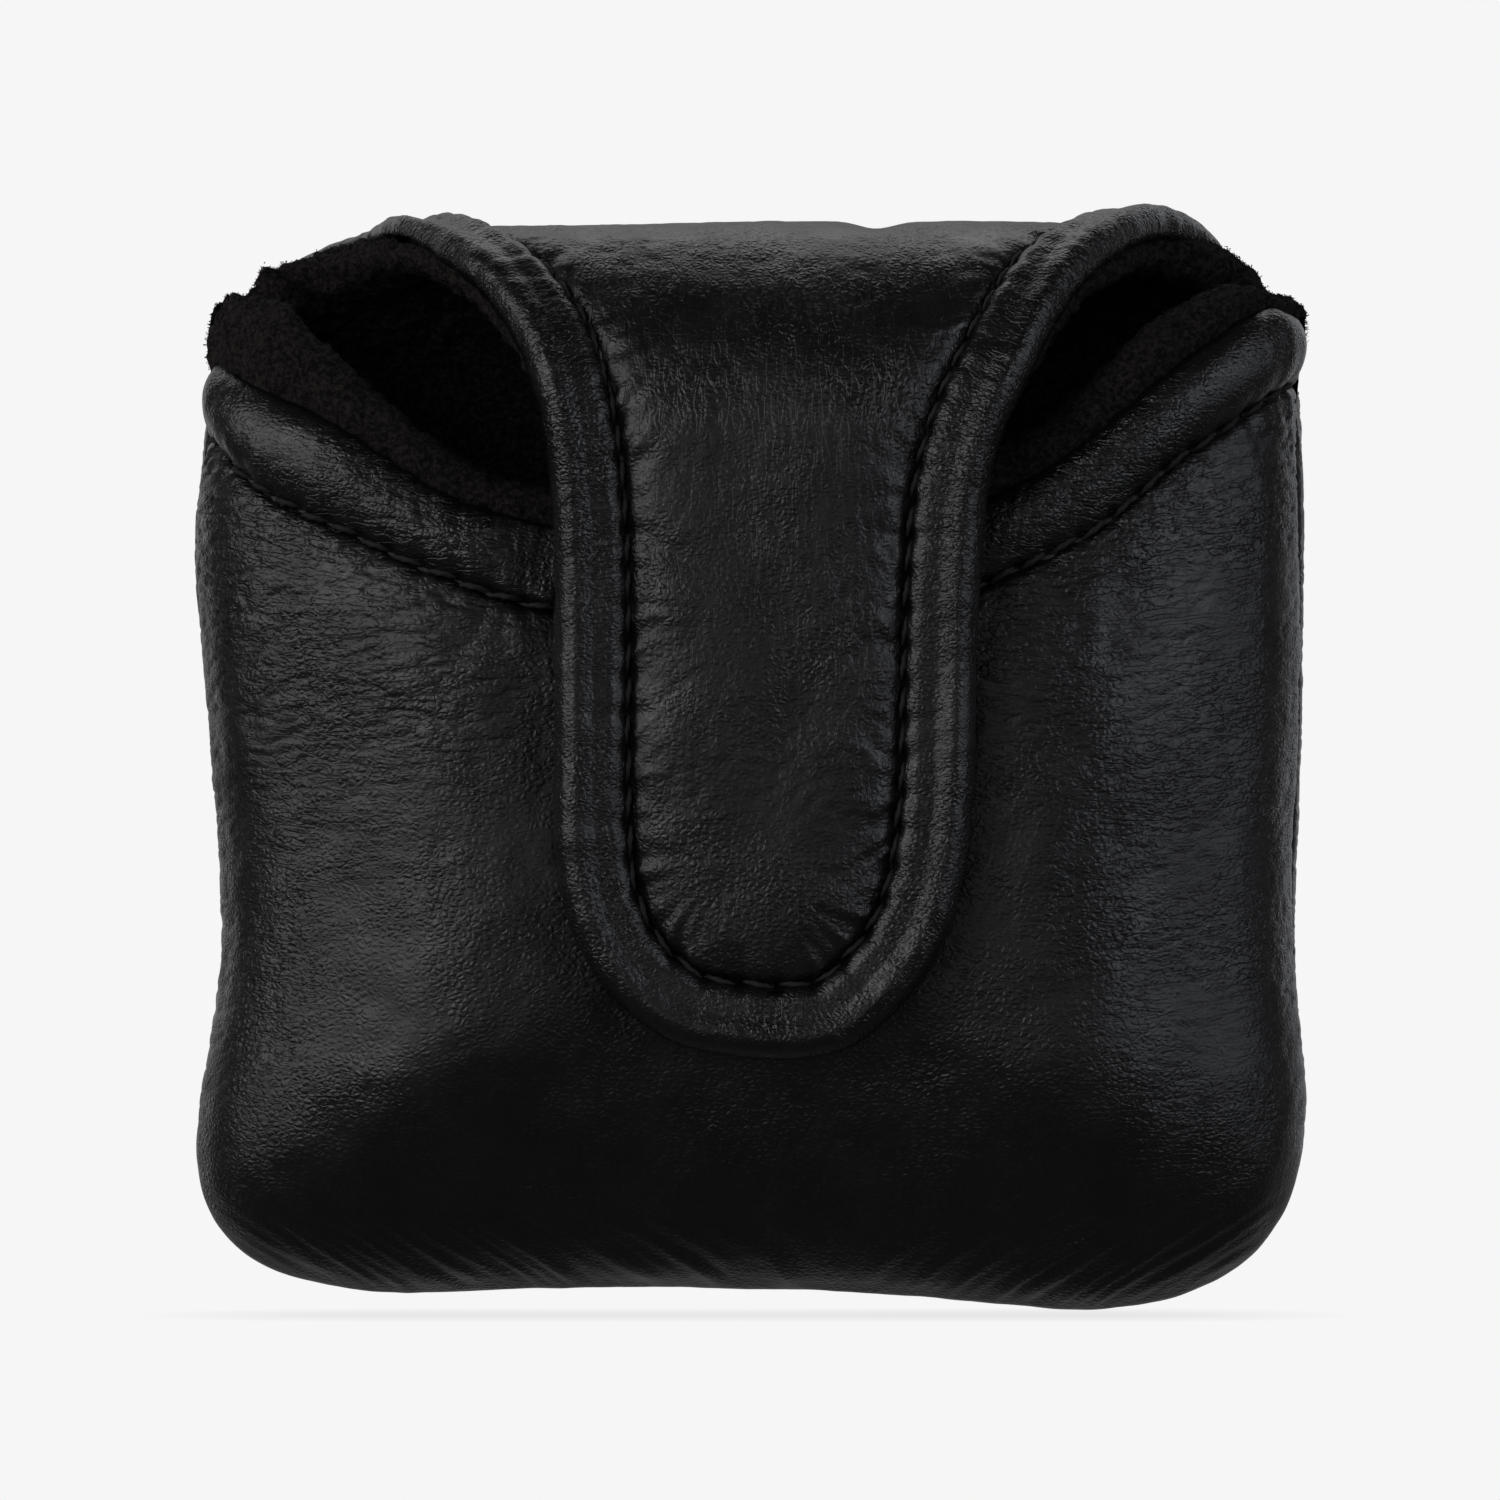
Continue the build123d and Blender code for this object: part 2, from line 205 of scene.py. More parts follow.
class Noise:
    """Smooth gradient noise in three dimensions, about -1 to 1."""

    def __init__(self, seed):
        r = np.random.default_rng(seed)
        self.table = r.permutation(256)
        self.dirs = unit(r.normal(size=(256, 3)))

    def corner(self, cell, f, step):
        c = (cell + step) & 255
        h = self.table[(self.table[(self.table[c[..., 0]] + c[..., 1]) & 255] + c[..., 2]) & 255]
        return np.sum(self.dirs[h] * (f - step), -1)

    def __call__(self, p):
        cell = np.floor(p).astype(int)
        f = p - cell
        w = f * f * f * (f * (f * 6 - 15) + 10)
        total = 0.0
        for step in np.ndindex(2, 2, 2):
            share = np.prod(np.where(step, w, 1 - w), -1)
            total = total + self.corner(cell, f, np.array(step)) * share
        return total * 1.6


noise_a, noise_b, noise_c = Noise(1), Noise(2), Noise(3)


def layered(noise, p, octaves):
    """Sum of noises, each twice as fine and half as strong."""
    return sum(noise(p * 2**k + 17.3 * k) / 2**k for k in range(octaves))


def folds(p, length, spacing, sharp=3.0):
    """Fine folds: 0 on flat leather, 1 in a fold, long along the first axis of p."""
    drift = noise_a(p * 0.07)[..., None] * np.array([0.5, 1.1, 0.8])
    value = noise_b(p / np.array([length, spacing, spacing * 1.5]) + drift)
    return np.clip(1 - np.abs(value) * sharp, 0, 1) ** 2


def turned(p, degrees):
    """Points turned in the plane of their first two numbers."""
    c, s = math.cos(math.radians(degrees)), math.sin(math.radians(degrees))
    return pack(p[..., 0] * c + p[..., 1] * s, p[..., 1] * c - p[..., 0] * s, p[..., 2])


# ---- the cover's surfaces

# section of a face: u from 0 at the middle to 1 at the seam, p its share of the depth, q the run
_phi = np.linspace(0, math.pi / 2, 6000)
_u = np.sin(_phi) ** (2 / SIDE_POWER)
_p = np.cos(_phi) ** (2 / SIDE_POWER)
_q = run_along(np.c_[_u * HALF, _p * DEPTH])
Q = _q[-1]


def section(q):
    """u and p at a run q from the middle."""
    size = np.clip(np.abs(q), 0, Q)
    return np.sign(q) * np.interp(size, _q, _u), np.interp(size, _q, _p)


def side_x(z):
    """x of the middle, and half width, between the side seams."""
    left, right = curve(LEFT_SIDE, z), curve(RIGHT_SIDE, z)
    return (left + right) / 2, (right - left) / 2


def face_depth(x, z):
    """Depth of a face: full, with soft cheeks either side of the middle."""
    swell = (bell(x, -32, 16) + bell(x, 37, 15)) * smooth(8, 30, z) * (1 - smooth(68, 92, z))
    drift = noise_c(pack(x * 0.03, z * 0.03, 0.5))
    return DEPTH + CHEEK * swell + 0.7 * drift * smooth(22, 34, np.abs(x))


def front_surface(q, z):
    """Front face at a run across and a height."""
    u, p = section(q)
    middle, half = side_x(z)
    x = middle + half * u
    return pack(x, SEAM_Y - face_depth(x, z) * p, z)


def spine(t):
    """y and z of the tongue's middle line, t along it from the top, forward positive."""
    turn = np.clip(t / ARCH_R, -math.pi / 2, math.pi / 2)
    beyond = np.maximum(np.abs(t) - QUARTER, 0)
    dip = 0.5 * smooth(QUARTER + 25, QUARTER + 66, t)
    return ARCH_Y - ARCH_R * np.sin(turn) + dip, ARCH_Z + ARCH_R * np.cos(turn) - beyond


def back_surface(q, t):
    """Back face, wings, top and tongue as one sheet: q across, t along."""
    y0, z0 = spine(t)
    rise = 90 + np.degrees(np.clip(t, -QUARTER, 0) / ARCH_R)
    w = 1 - smooth(40, 80, rise)
    u, p = section(q)
    middle, half = side_x(z0)
    x = w * (middle + half * u) + (1 - w) * q
    swell = (face_depth(x, z0) - DEPTH) * w * (t < 0)
    y = SEAM_Y + (y0 + swell - SEAM_Y) * (1 - (1 - p) * w)
    return pack(x, y, z0)


def normal_of(surface, a, b, sign):
    """Outward unit normals of a surface."""
    a = np.clip(a, 0.8 - Q, Q - 0.8)
    h = 0.05
    across = surface(a + h, b) - surface(a - h, b)
    along = surface(a, b + h) - surface(a, b - h)
    return sign * unit(np.cross(across, along))


def front_at(q, z, out=0.0):
    """Point on the front face, moved outward."""
    return front_surface(q, z) + normal_of(front_surface, q, z, 1) * np.asarray(out)[..., None]


def back_at(q, t, out=0.0):
    """Point on the back, top or tongue, moved outward."""
    return back_surface(q, t) + normal_of(back_surface, q, t, -1) * np.asarray(out)[..., None]


def t_of(z, front):
    """Place along the spine of a height, on the front or on the back."""
    z = np.asarray(z, float)
    lean = math.pi / 2 - np.arcsin(np.clip((z - ARCH_Z) / ARCH_R, 0, 1))
    t = ARCH_R * lean + np.maximum(ARCH_Z - z, 0)
    return t if front else -t


def q_of(x, t):
    """Run across at which the back's sheet has this x."""
    q = np.linspace(-Q, Q, 4001)
    return np.interp(x, back_surface(q, np.full_like(q, t))[:, 0], q)


def pressed(room):
    """Share of the wall's depth at a distance from the side seam: the layers are pressed flat in it."""
    return PINCH / WALL + (1 - PINCH / WALL) * smooth(-2, 10, room)


def pinch(q):
    """The same share at a run across."""
    return pressed(Q - np.abs(np.clip(q, -Q, Q)))


def at_seam(q):
    """1 in the side seams, 0 a little way in."""
    return 1 - smooth(0, 8, Q - np.abs(q))


# ---- rim lines

def front_line(points, q):
    """Height of a line drawn across the front, at runs q."""
    z = np.full_like(q, 90.0)
    for _ in range(6):
        middle, half = side_x(z)
        z = curve(points, np.clip(middle + half * section(q)[0], -60, 60))
    return z


def outer_edge():
    """The wings' and tongue's edge in (q, t), finely sampled, and the unit way inward."""
    points = [(-Q - 5, t_of(WING_SEAM_Z - 2, False)), (-Q, t_of(WING_SEAM_Z, False))]
    points += [(q_of(x, t_of(z, False)), t_of(z, False)) for x, z in WING_LEFT]
    points += [(APEX_LEFT, 0.0)]
    points += [(x, t_of(z, True)) for x, z in EDGE_LEFT + EDGE_RIGHT]
    points += [(APEX_RIGHT, 0.0)]
    points += [(q_of(x, t_of(z, False)), t_of(z, False)) for x, z in WING_RIGHT]
    points += [(Q, t_of(WING_SEAM_Z, False)), (Q + 5, t_of(WING_SEAM_Z - 2, False))]
    line = softened(path_through(points, 0.1), 18)
    tangent = unit(np.gradient(line, axis=0))
    return line, pack(tangent[:, 1], -tangent[:, 0])


class Rim:
    """Samples of the outer edge in four stretches: left wing, tongue's left, right, right wing."""

    def __init__(self, step):
        line, inward = outer_edge()
        run = run_along(line)
        middle = line[:, 1] + inward[:, 1] * BAND / 2
        tip = int(np.argmax(line[:, 1]))
        cut_left = int(np.argmin(np.abs(middle[:tip])))
        cut_right = tip + int(np.argmin(np.abs(middle[tip:])))
        self.wing = int((run[cut_left] + run[-1] - run[cut_right]) / 2 / step)
        self.half = int((run[cut_right] - run[cut_left]) / 2 / step)
        stops = [0, cut_left, tip, cut_right, len(run) - 1]
        counts = [self.wing, self.half, self.half, self.wing]
        index = [np.interp(np.linspace(run[a], run[b], n, endpoint=False), run, np.arange(len(run)))
                 for a, b, n in zip(stops, stops[1:], counts)]
        index = np.append(np.concatenate(index), len(run) - 1)
        whole = np.arange(len(run))
        self.edge = sampled(line, whole, index)
        self.inward = unit(sampled(inward, whole, index))
        self.run = np.interp(index, whole, run)
        self.left = slice(0, self.wing + 1)
        self.tongue = slice(self.wing, self.wing + 2 * self.half + 1)
        self.right = slice(self.wing + 2 * self.half, len(index))

    def inset(self, depth):
        """The edge moved inward by a depth, as (q, t)."""
        return self.edge + self.inward * depth


# ---- meshes

def weld(sheets):
    """Grids of points, each with its fields, joined where they meet: points, quads and fields."""
    points = np.concatenate([grid.reshape(-1, 3) for grid, _ in sheets])
    values = {key: np.concatenate([np.broadcast_to(fields[key], grid.shape[:2]).ravel()
                                   for grid, fields in sheets]) for key in sheets[0][1]}
    quads, offset = [], 0
    for rows, cols in (grid.shape[:2] for grid, _ in sheets):
        i = np.arange(rows - 1)[:, None] * cols + np.arange(cols - 1) + offset
        quads.append(pack(i, i + 1, i + cols + 1, i + cols).reshape(-1, 4))
        offset += rows * cols
    quads = np.concatenate(quads)
    for shift in (0.0, 0.5):
        keys = np.round(points / WELD + shift).astype(np.int64)
        _, first, back = np.unique(keys, axis=0, return_index=True, return_inverse=True)
        quads, points = back.reshape(-1)[quads], points[first]
        values = {key: v[first] for key, v in values.items()}
    return points, quads, values


def vertex_normals(points, quads):
    a, b, c, d = (points[quads[:, k]] for k in range(4))
    face = np.cross(c - a, d - b)
    normals = np.zeros_like(points)
    for axis in range(3):
        for k in range(4):
            normals[:, axis] += np.bincount(quads[:, k], face[:, axis], len(points))
    return unit(normals)


def facing(points, quads, way):
    """The quads turned so that their normals agree with way, a vector at each point."""
    agree = np.sum(vertex_normals(points, quads) * way)
    return quads if agree > 0 else quads[:, ::-1]


def mesh_from(name, points, quads, material, grain=None):
    """One smooth mesh from points in millimetres and quads, some of them down to triangles.

    Grain, where given, is each point's place along and across the fine creases, and their depth."""
    same = np.stack([quads[:, k] == quads[:, (k + 1) % 4] for k in range(4)], -1)
    whole = quads[~same.any(1)]
    shut = quads[same.sum(1) == 1]
    gap = same[same.sum(1) == 1].argmax(1)
    turn = (gap[:, None] + np.arange(1, 4)) % 4
    tris = np.take_along_axis(shut, turn, 1)
    loops = np.concatenate([whole.ravel(), tris.ravel()]).astype(np.int32)
    starts = np.concatenate([np.arange(len(whole)) * 4, len(whole) * 4 + np.arange(len(tris)) * 3])
    mesh = bpy.data.meshes.new(name)
    mesh.vertices.add(len(points))
    mesh.vertices.foreach_set("co", (points * MM).astype(np.float32).ravel())
    mesh.loops.add(len(loops))
    mesh.loops.foreach_set("vertex_index", loops)
    mesh.polygons.add(len(starts))
    mesh.polygons.foreach_set("loop_start", starts.astype(np.int32))
    mesh.update(calc_edges=True)
    stored = {"rest_mm": points} if grain is None else {"rest_mm": points, "grain": pack(*grain)}
    for key, vectors in stored.items():
        made = mesh.attributes.new(key, "FLOAT_VECTOR", "POINT")
        made.data.foreach_set("vector", vectors.astype(np.float32).ravel())
    mesh.validate()
    mesh.polygons.foreach_set("use_smooth", np.ones(len(mesh.polygons), bool))
    mesh.materials.append(material)
    obj = bpy.data.objects.new(name, mesh)
    bpy.context.scene.collection.objects.link(obj)
    return obj


def relief_mesh(name, sheets, height, way, material, extra=None, grain=None):
    """A mesh of sheets moved along their normals by height(points, fields)."""
    points, quads, values = weld(sheets)
    quads = facing(points, quads, way(points))
    lie = grain(points, values) if grain else None
    points = points + vertex_normals(points, quads) * height(points, values)[:, None]
    if extra:
        more, faces = extra(points, vertex_normals(points, quads), values)
        quads = np.concatenate([quads, faces + len(points)])
        points = np.concatenate([points, more])
    return mesh_from(name, points, quads, material, lie)


def outward(points):
    """From the middle of the cover out."""
    return points - np.array([0, SEAM_Y, ARCH_Z - 20])


def inward(points):
    return -outward(points)


def thick(name, grids, thickness, material):
    """A closed pad: a sheet, a second sheet under it, and the edge between them."""
    points, quads, _ = weld([(grid, {}) for grid in grids])
    quads = facing(points, quads, outward(points))
    under = points - vertex_normals(points, quads) * thickness
    edges = np.concatenate([quads[:, [k, (k + 1) % 4]] for k in range(4)])
    edges = edges[edges[:, 0] != edges[:, 1]]
    n = len(points)
    code = edges.min(1) * n + edges.max(1)
    _, first, count = np.unique(code, return_index=True, return_counts=True)
    rim = edges[first[count == 1]]
    sides = pack(rim[:, 1], rim[:, 0], rim[:, 0] + n, rim[:, 1] + n)
    quads = np.concatenate([quads, quads[:, ::-1] + n, sides])
    return mesh_from(name, np.concatenate([points, under]), quads, material)


def nearest(path, a, b):
    """Distance from points (a, b) to a path in the same plane, and the run along it there."""
    run = run_along(path)
    flat = pack(np.ravel(a), np.ravel(b))
    dist, at = np.empty(len(flat)), np.empty(len(flat))
    for k in range(0, len(flat), 4000):
        way = flat[k:k + 4000, None] - path[None]
        gap = np.hypot(way[..., 0], way[..., 1])
        best = gap.argmin(1)
        dist[k:k + 4000] = gap[np.arange(len(best)), best]
        at[k:k + 4000] = run[best]
    return dist.reshape(np.shape(a)), at.reshape(np.shape(a))


# ---- grids of the two faces

def fan_grids(n, side_y):
    """Lower part of a face: rays from a pole out to the rounded bottom seam, as two grids."""
    corner = 2 / CORNER_POWER
    theta = np.linspace(0, math.pi / 2, 4000)
    run = run_along(np.c_[np.cos(theta) ** corner * HALF, np.sin(theta) ** corner * POLE_Z])
    rows = int(run[-1] / (Q / n))
    turn = np.interp(np.linspace(0, run[-1], rows), run, theta)
    q = np.linspace(0, Q, n + 1)
    t, r = np.meshgrid(turn, section(q)[0], indexing="ij")
    a, b = r * np.cos(t) ** corner, r * np.sin(t) ** corner
    power = SIDE_POWER + (BASE_POWER - SIDE_POWER) * np.sin(t) ** 2
    p = np.clip(1 - r**power, 0, 1) ** (1 / power)
    grids = []
    for side in (-1, 1):
        x = side * HALF * a
        for _ in range(3):
            z = POLE_Z - (POLE_Z - curve(BOTTOM, x)) * b
            middle, half = side_x(z)
            x = middle + side * half * a - middle * (1 - r) * (1 - np.cos(t))
        y = SEAM_Y + side_y * face_depth(x, z) * p
        order = slice(None, None, -side)
        grids.append((pack(x, y, z)[order], (Q - np.interp(r, _u, _q))[order]))
    return grids


def front_grid(n):
    """Runs and heights of the front face, from its pole row up to just under the band."""
    q = np.linspace(-Q, Q, 2 * n + 1)
    ceiling = front_line(RIM_STITCH, q) + TUCK
    rows = int((ceiling.max() - POLE_Z) / (Q / n))
    v, q = np.meshgrid(np.linspace(0, 1, rows), q, indexing="ij")
    return q, POLE_Z + v * (ceiling - POLE_Z)


# ---- leather relief

def stitched(dist, run, pull=1.0):
    """Valley of a stitch line, the dimple at each needle hole and the gathers it pulls."""
    beat = 0.5 + 0.5 * np.cos(2 * math.pi * run / STITCH_PITCH)
    valley = -0.7 * np.exp(-(dist / 0.6) ** 2) - 0.75 * np.exp(-dist / 1.9)
    dimple = -0.42 * beat**2 * np.exp(-dist / 1.5)
    skew = run + dist * (0.7 * np.sin(run * 0.21) + 0.3)
    pleat = noise_b(pack(skew / 1.9, dist * 0.09, 4.1))
    fine = noise_c(pack(skew / 0.9, dist * 0.14, 1.7))
    return valley + dimple + pull * (0.46 * pleat * np.exp(-dist / 4.2) + 0.16 * fine * np.exp(-dist / 3.0))


def seamed(room):
    """Groove where the faces are sewn together, and the swell beside it."""
    return -1.2 * np.exp(-(room / 0.9) ** 2) + 0.35 * bell(room, 3.4, 2.4)


def hide(flat):
    """Slow swells and shallow dents of padded leather."""
    return 0.34 * layered(noise_a, flat * 0.045, 3) + 0.10 * layered(noise_c, flat * 0.22, 2)


def front_relief(p, f):
    """Front panel: pad, seams, rim gathers, and the creases near the rim and the sides."""
    flat = pack(p[:, 0], p[:, 2], p[:, 1] * 0.4)
    x, z = p[:, 0], p[:, 2]
    level = folds(turned(flat, 4), 5.5, 1.15)
    slant = folds(turned(flat, 24), 4.2, 1.3)
    steep = folds(turned(flat, 78), 4.0, 1.5)
    below_rim = bell(f["rim"], 5, 15) * smooth(18, 30, np.abs(x))
    at_side = bell(f["seam"], 2, 15) * smooth(12, 30, z)
    right_patch = bell(x, 46, 13) * bell(z, 48, 26)
    left_patch = bell(x, -50, 11) * bell(z, 66, 22)
    under = bell(x, 12, 40) * bell(z, 17, 9)
    lines = 0.20 * level * np.clip(below_rim + 0.7 * right_patch + 0.6 * left_patch, 0, 1)
    lines += 0.15 * slant * at_side + 0.13 * steep * under
    gather = pack((x - 1.5 * z * np.tanh((x - 8) / 16)) / 1.5, z * 0.14, 2.2)
    lines += 0.32 * noise_c(gather) * smooth(17, 4, z) * smooth(2, 10, f["seam"])
    rim = stitched(f["rim"], f["run"], pull=0.8)
    return hide(flat) + seamed(f["seam"]) + rim - lines


def sheet_relief(p, f):
    """Back panel, top and tongue between their stitch lines."""
    flat = pack(f["q"], f["t"], 0)
    puff = 1.5 * (1 - np.exp(-f["rim"] / 5.0)) * smooth(12, 44, f["t"])
    sag = -0.55 * bell(f["t"], 0, 16) - 0.4 * bell(f["q"], -22, 16) * bell(f["t"], 0, 12)
    over_top = bell(f["t"], 20, 26)
    down = folds(turned(flat, 84), 6.0, 1.9)
    across = folds(turned(flat, 8), 4.5, 1.4)
    lines = 0.16 * down * over_top
    lines += 0.13 * across * smooth(30, 60, f["t"]) * smooth(0.0, 0.4, noise_c(flat * 0.06))
    lines += 0.14 * across * bell(f["room"], 2, 15)
    wrinkle = folds(turned(flat, 63), 5.5, 0.95, 2.2) * bell(f["q"], 12.5, 6) * bell(f["t"], 56, 13)
    lines += 0.26 * wrinkle
    middle = f["q"] - 1.5 - 3.2 * np.sin((f["t"] - 52) / 8)
    puff -= 0.40 * bell(middle, 0, 3.4) * bell(f["t"], 66, 19)
    dent = -0.9 * bell(f["q"], 13.7, 2.6) * bell(f["t"], 0, 7)
    bulge = 0.8 * bell(f["room"], 4.0, 3.0) * smooth(20, 50, p[:, 0]) * smooth(30, 50, p[:, 2])
    sewn = seamed(f["room"]) + stitched(f["rim"], f["run"])
    return hide(flat) * 0.8 + puff + sag + dent - lines + sewn + bulge


def band_relief(p, f):
    """Bound edge: gathers at the stitches, crinkles across the roll, soft unevenness along it."""
    e, s = f["e"], f["s"]
    beat = 0.5 + 0.5 * np.cos(2 * math.pi * s / STITCH_PITCH)
    near = np.exp(-np.abs(BAND - e) / 1.5)
    line = pack(s + 0.35 * e * np.sin(s * 0.13), e * 0.16, 0)
    crinkle = noise_b(line / np.array([0.85, 1, 1])) * 0.12 * f["crinkle"]
    coarse = noise_c(line / np.array([2.6, 1, 1])) * 0.16
    sunk = 1.2 * bell(p[:, 0], -36, 9) * smooth(112, 118, p[:, 2])
    slow = noise_a(pack(s * 0.06, e * 0.1, 0)) * 0.35 - sunk
    return -0.34 * beat**2 * near + crinkle + coarse * smooth(BAND + 1, 2, e) + slow * smooth(BAND, 4, e)


def front_grain(p, f):
    """Creases of the front: level, deepest below the rim, at the sides and in two worn patches."""
    x, z = p[:, 0], p[:, 2]
    tilt = 0.12 * np.sin(x * 0.05)
    rim = bell(f["rim"], 4, 16) * smooth(16, 30, np.abs(x))
    side = bell(f["seam"], 4, 13) * smooth(8, 26, z)
    patch = bell(x, 47, 13) * bell(z, 50, 30) + 0.7 * bell(x, -50, 12) * bell(z, 62, 26)
    depth = np.clip(0.12 + 0.9 * rim + 0.75 * side + 0.8 * patch, 0, 1)
    return x, z + tilt * x, depth


def sheet_grain(p, f):
    """Creases of the tongue and the back: they run down the tongue and level across the back."""
    depth = 0.15 + 0.7 * bell(f["t"], 22, 26) + 0.45 * smooth(40, 70, f["t"]) * np.exp(-f["rim"] / 5)
    return f["t"], f["q"] + 0.12 * np.sin(f["t"] * 0.2), np.clip(depth + 0.4 * bell(f["room"], 3, 12), 0, 1)


def front_band_grain(p, f):
    """Creases of the front band: near level, deepest where it comes out from under the tongue."""
    x, z = p[:, 0], p[:, 2]
    return x, z + 0.12 * x, np.clip(0.25 + 0.9 * bell(np.abs(x), 34, 14), 0, 1)


def band_grain(p, f):
    """Crinkles across a bound edge."""
    return f["e"] * 1.5, f["s"], np.clip(f["crinkle"], 0, 1.2)


def nap(p, f):
    """Fleece: nubs and clumps of pile."""
    clump = layered(noise_a, p / 2.3, 2)
    nub = layered(noise_b, p / 0.85, 2)
    return (0.34 * clump + 0.36 * nub) * f["soft"]


def tufts(count, seed):
    """Short tapering tufts that stand out of the pile where it shows."""
    def grow(points, normals, values):
        r = np.random.default_rng(seed)
        shown = np.flatnonzero(values["soft"] > 0.9)
        at = r.choice(shown, count)
        lean = unit(normals[at] + r.normal(size=(count, 3)) * 0.45)
        across = unit(np.cross(lean, r.normal(size=(count, 3))))
        other = np.cross(lean, across)
        root = points[at] - normals[at] * 0.12 + r.normal(size=(count, 3)) * 0.12
        girth = r.uniform(0.05, 0.10, (count, 1))
        tall = r.uniform(0.30, 0.75, (count, 1))
        corners = [root + girth * (across * math.cos(a) + other * math.sin(a)) for a in (0, 2.094, 4.189)]
        tip = root + lean * tall
        more = np.stack(corners + [tip], 1).reshape(-1, 3)
        base = np.arange(count)[:, None] * 4
        faces = [base + [0, 1, 3, 3], base + [1, 2, 3, 3], base + [2, 0, 3, 3], base + [0, 2, 1, 1]]
        return more, np.concatenate(faces)
    return grow


# ---- pieces on the front

def profile(points, step):
    """Smooth cross-section of a rim through (inward, outward) points."""
    return path_through(points, step).T


# leather of a bound edge, from under its stitches over the roll to its turned end
LEATHER_ROLL = [(8.1, -1.5), (7.8, -0.7), (7.3, 0.15), (6.5, 0.7), (5.4, 0.85), (4.3, 0.9), (3.3, 1.2),
                (2.2, 1.4), (1.2, 1), (0.5, 0.2), (0.05, -0.75), (0.1, -1.8), (0.6, -2.6), (1.5, -3)]
FRONT_ROLL = [(8.1, -1.5), (7.75, -0.75), (6.9, 0.3), (5.6, 1.1), (4, 1.5), (2.4, 1.35), (1.1, 0.7),
              (0.3, -0.3), (0.1, -1.2), (0.5, -2), (1.4, -2.4)]
# fleece: on the front rim, on the wings and under the tongue
FRONT_FLEECE = [(1.4, -1.9), (0.4, -1.4), (-1.2, -0.9), (-3.2, -1.5), (-4.6, -3.2), (-4.7, -5.2),
                (-3.2, -6.8), (0, -7.2), (4, -6.6), (7.8, -WALL)]
WING_FLEECE = [(1.5, -2.5), (0.3, -1.8), (-1, -1.9), (-2, -2.9), (-2.2, -4.3), (-1.3, -5.8), (0.6, -6.6),
               (3.2, -6.6), (5.6, -6.2), (BAND - TUCK, -WALL)]
TONGUE_FLEECE = [(1.5, -2.7), (0.9, -2.9), (0.45, -3.5), (0.35, -4.3), (0.7, -5.1), (1.6, -5.7),
                 (2.8, -6), (4.2, -6), (5.6, -6), (BAND - TUCK, -WALL)]


def front_sweep(shape, scale, n, spill=0.0):
    """A profile swept along the front rim; what stands over the rim spills out at the seams."""
    q = np.linspace(-Q, Q, 2 * n + 1)
    edge = front_line(RIM_EDGE, q)
    e, o = shape
    z = edge - e[:, None] * scale(q, edge)
    qq = np.broadcast_to(q, z.shape)
    flat_middle = 1 - 0.75 * (1 - smooth(21, 31, np.abs(q)))
    out = np.where(o[:, None] > 0, o[:, None] * flat_middle * (1 - 0.9 * at_seam(q)), o[:, None] * pinch(q))
    over = smooth(1.4, -0.4, e[:, None]) * (1 - 0.9 * smooth(-2.2, -4.7, e[:, None]))
    out = out + spill * at_seam(q) * over
    return front_at(qq, z, out), np.broadcast_to(e[:, None], z.shape), qq


def stitch_width(q, edge):
    """Height of the front band in units of the profile's width."""
    return (edge - front_line(RIM_STITCH, q)) / BAND


def fleece_height(q, edge):
    """Height of the front fleece roll in units of its profile."""
    middle, half = side_x(edge)
    return curve(RIM_FLEECE, middle + half * section(q)[0]) / 4.7


def rim_line_front():
    """Front stitch line in (q, z), finely sampled."""
    q = np.linspace(-Q, Q, 1400)
    return np.c_[q, front_line(RIM_STITCH, q)]


def make_front_leather():
    n = int(Q / CELL)
    q, z = front_grid(n)
    rim, run = nearest(rim_line_front(), q, z)
    sheets = [(front_surface(q, z), {"rim": rim, "run": run, "seam": Q - np.abs(q)})]
    sheets += [(grid, {"rim": FAR, "run": 0, "seam": room}) for grid, room in fan_grids(n, -1)]
    return relief_mesh("front_leather", sheets, front_relief, outward, leather, grain=front_grain)


def make_front_band():
    points, e, q = front_sweep(profile(FRONT_ROLL, 0.3), stitch_width, int(Q / 0.4))
    line = rim_line_front()
    run = np.interp(q, line[:, 0], run_along(line))
    fields = {"e": e, "s": run, "crinkle": 0.4 + 0.8 * bell(np.abs(q), 30, 12)}
    return relief_mesh("front_rim_band", [(points, fields)], front_band_relief, outward, band_leather,
                       grain=front_band_grain)


def front_band_relief(p, f):
    """The shared band relief, with level folds where the band runs up from under the tongue."""
    flat = pack(p[:, 0], p[:, 2], 0)
    level = folds(turned(flat, 3), 5.0, 1.2)
    shown = smooth(BAND, 5, f["e"]) * bell(np.abs(p[:, 0]), 36, 12)
    return band_relief(p, f) - 0.26 * level * shown


def make_front_fleece():
    n = int(Q / 0.45)
    roll, e, _ = front_sweep(profile(FRONT_FLEECE, 0.4), fleece_height, n, spill=1.0)
    q = np.linspace(-Q, Q, 2 * n + 1)
    edge = front_line(RIM_EDGE, q)
    top = edge - 7.8 * fleece_height(q, edge)
    v, q = np.meshgrid(np.linspace(0, 1, 50), q, indexing="ij")
    wall = front_at(q, POLE_Z + v * (top - POLE_Z), -WALL * pinch(q))
    sheets = [(roll, {"soft": smooth(7.8, 6.5, e)}), (wall, {"soft": HIDDEN_PILE})] + lower_lining(-1)
    return relief_mesh("front_fleece", sheets, nap, inward, fleece, tufts(11000, 11))


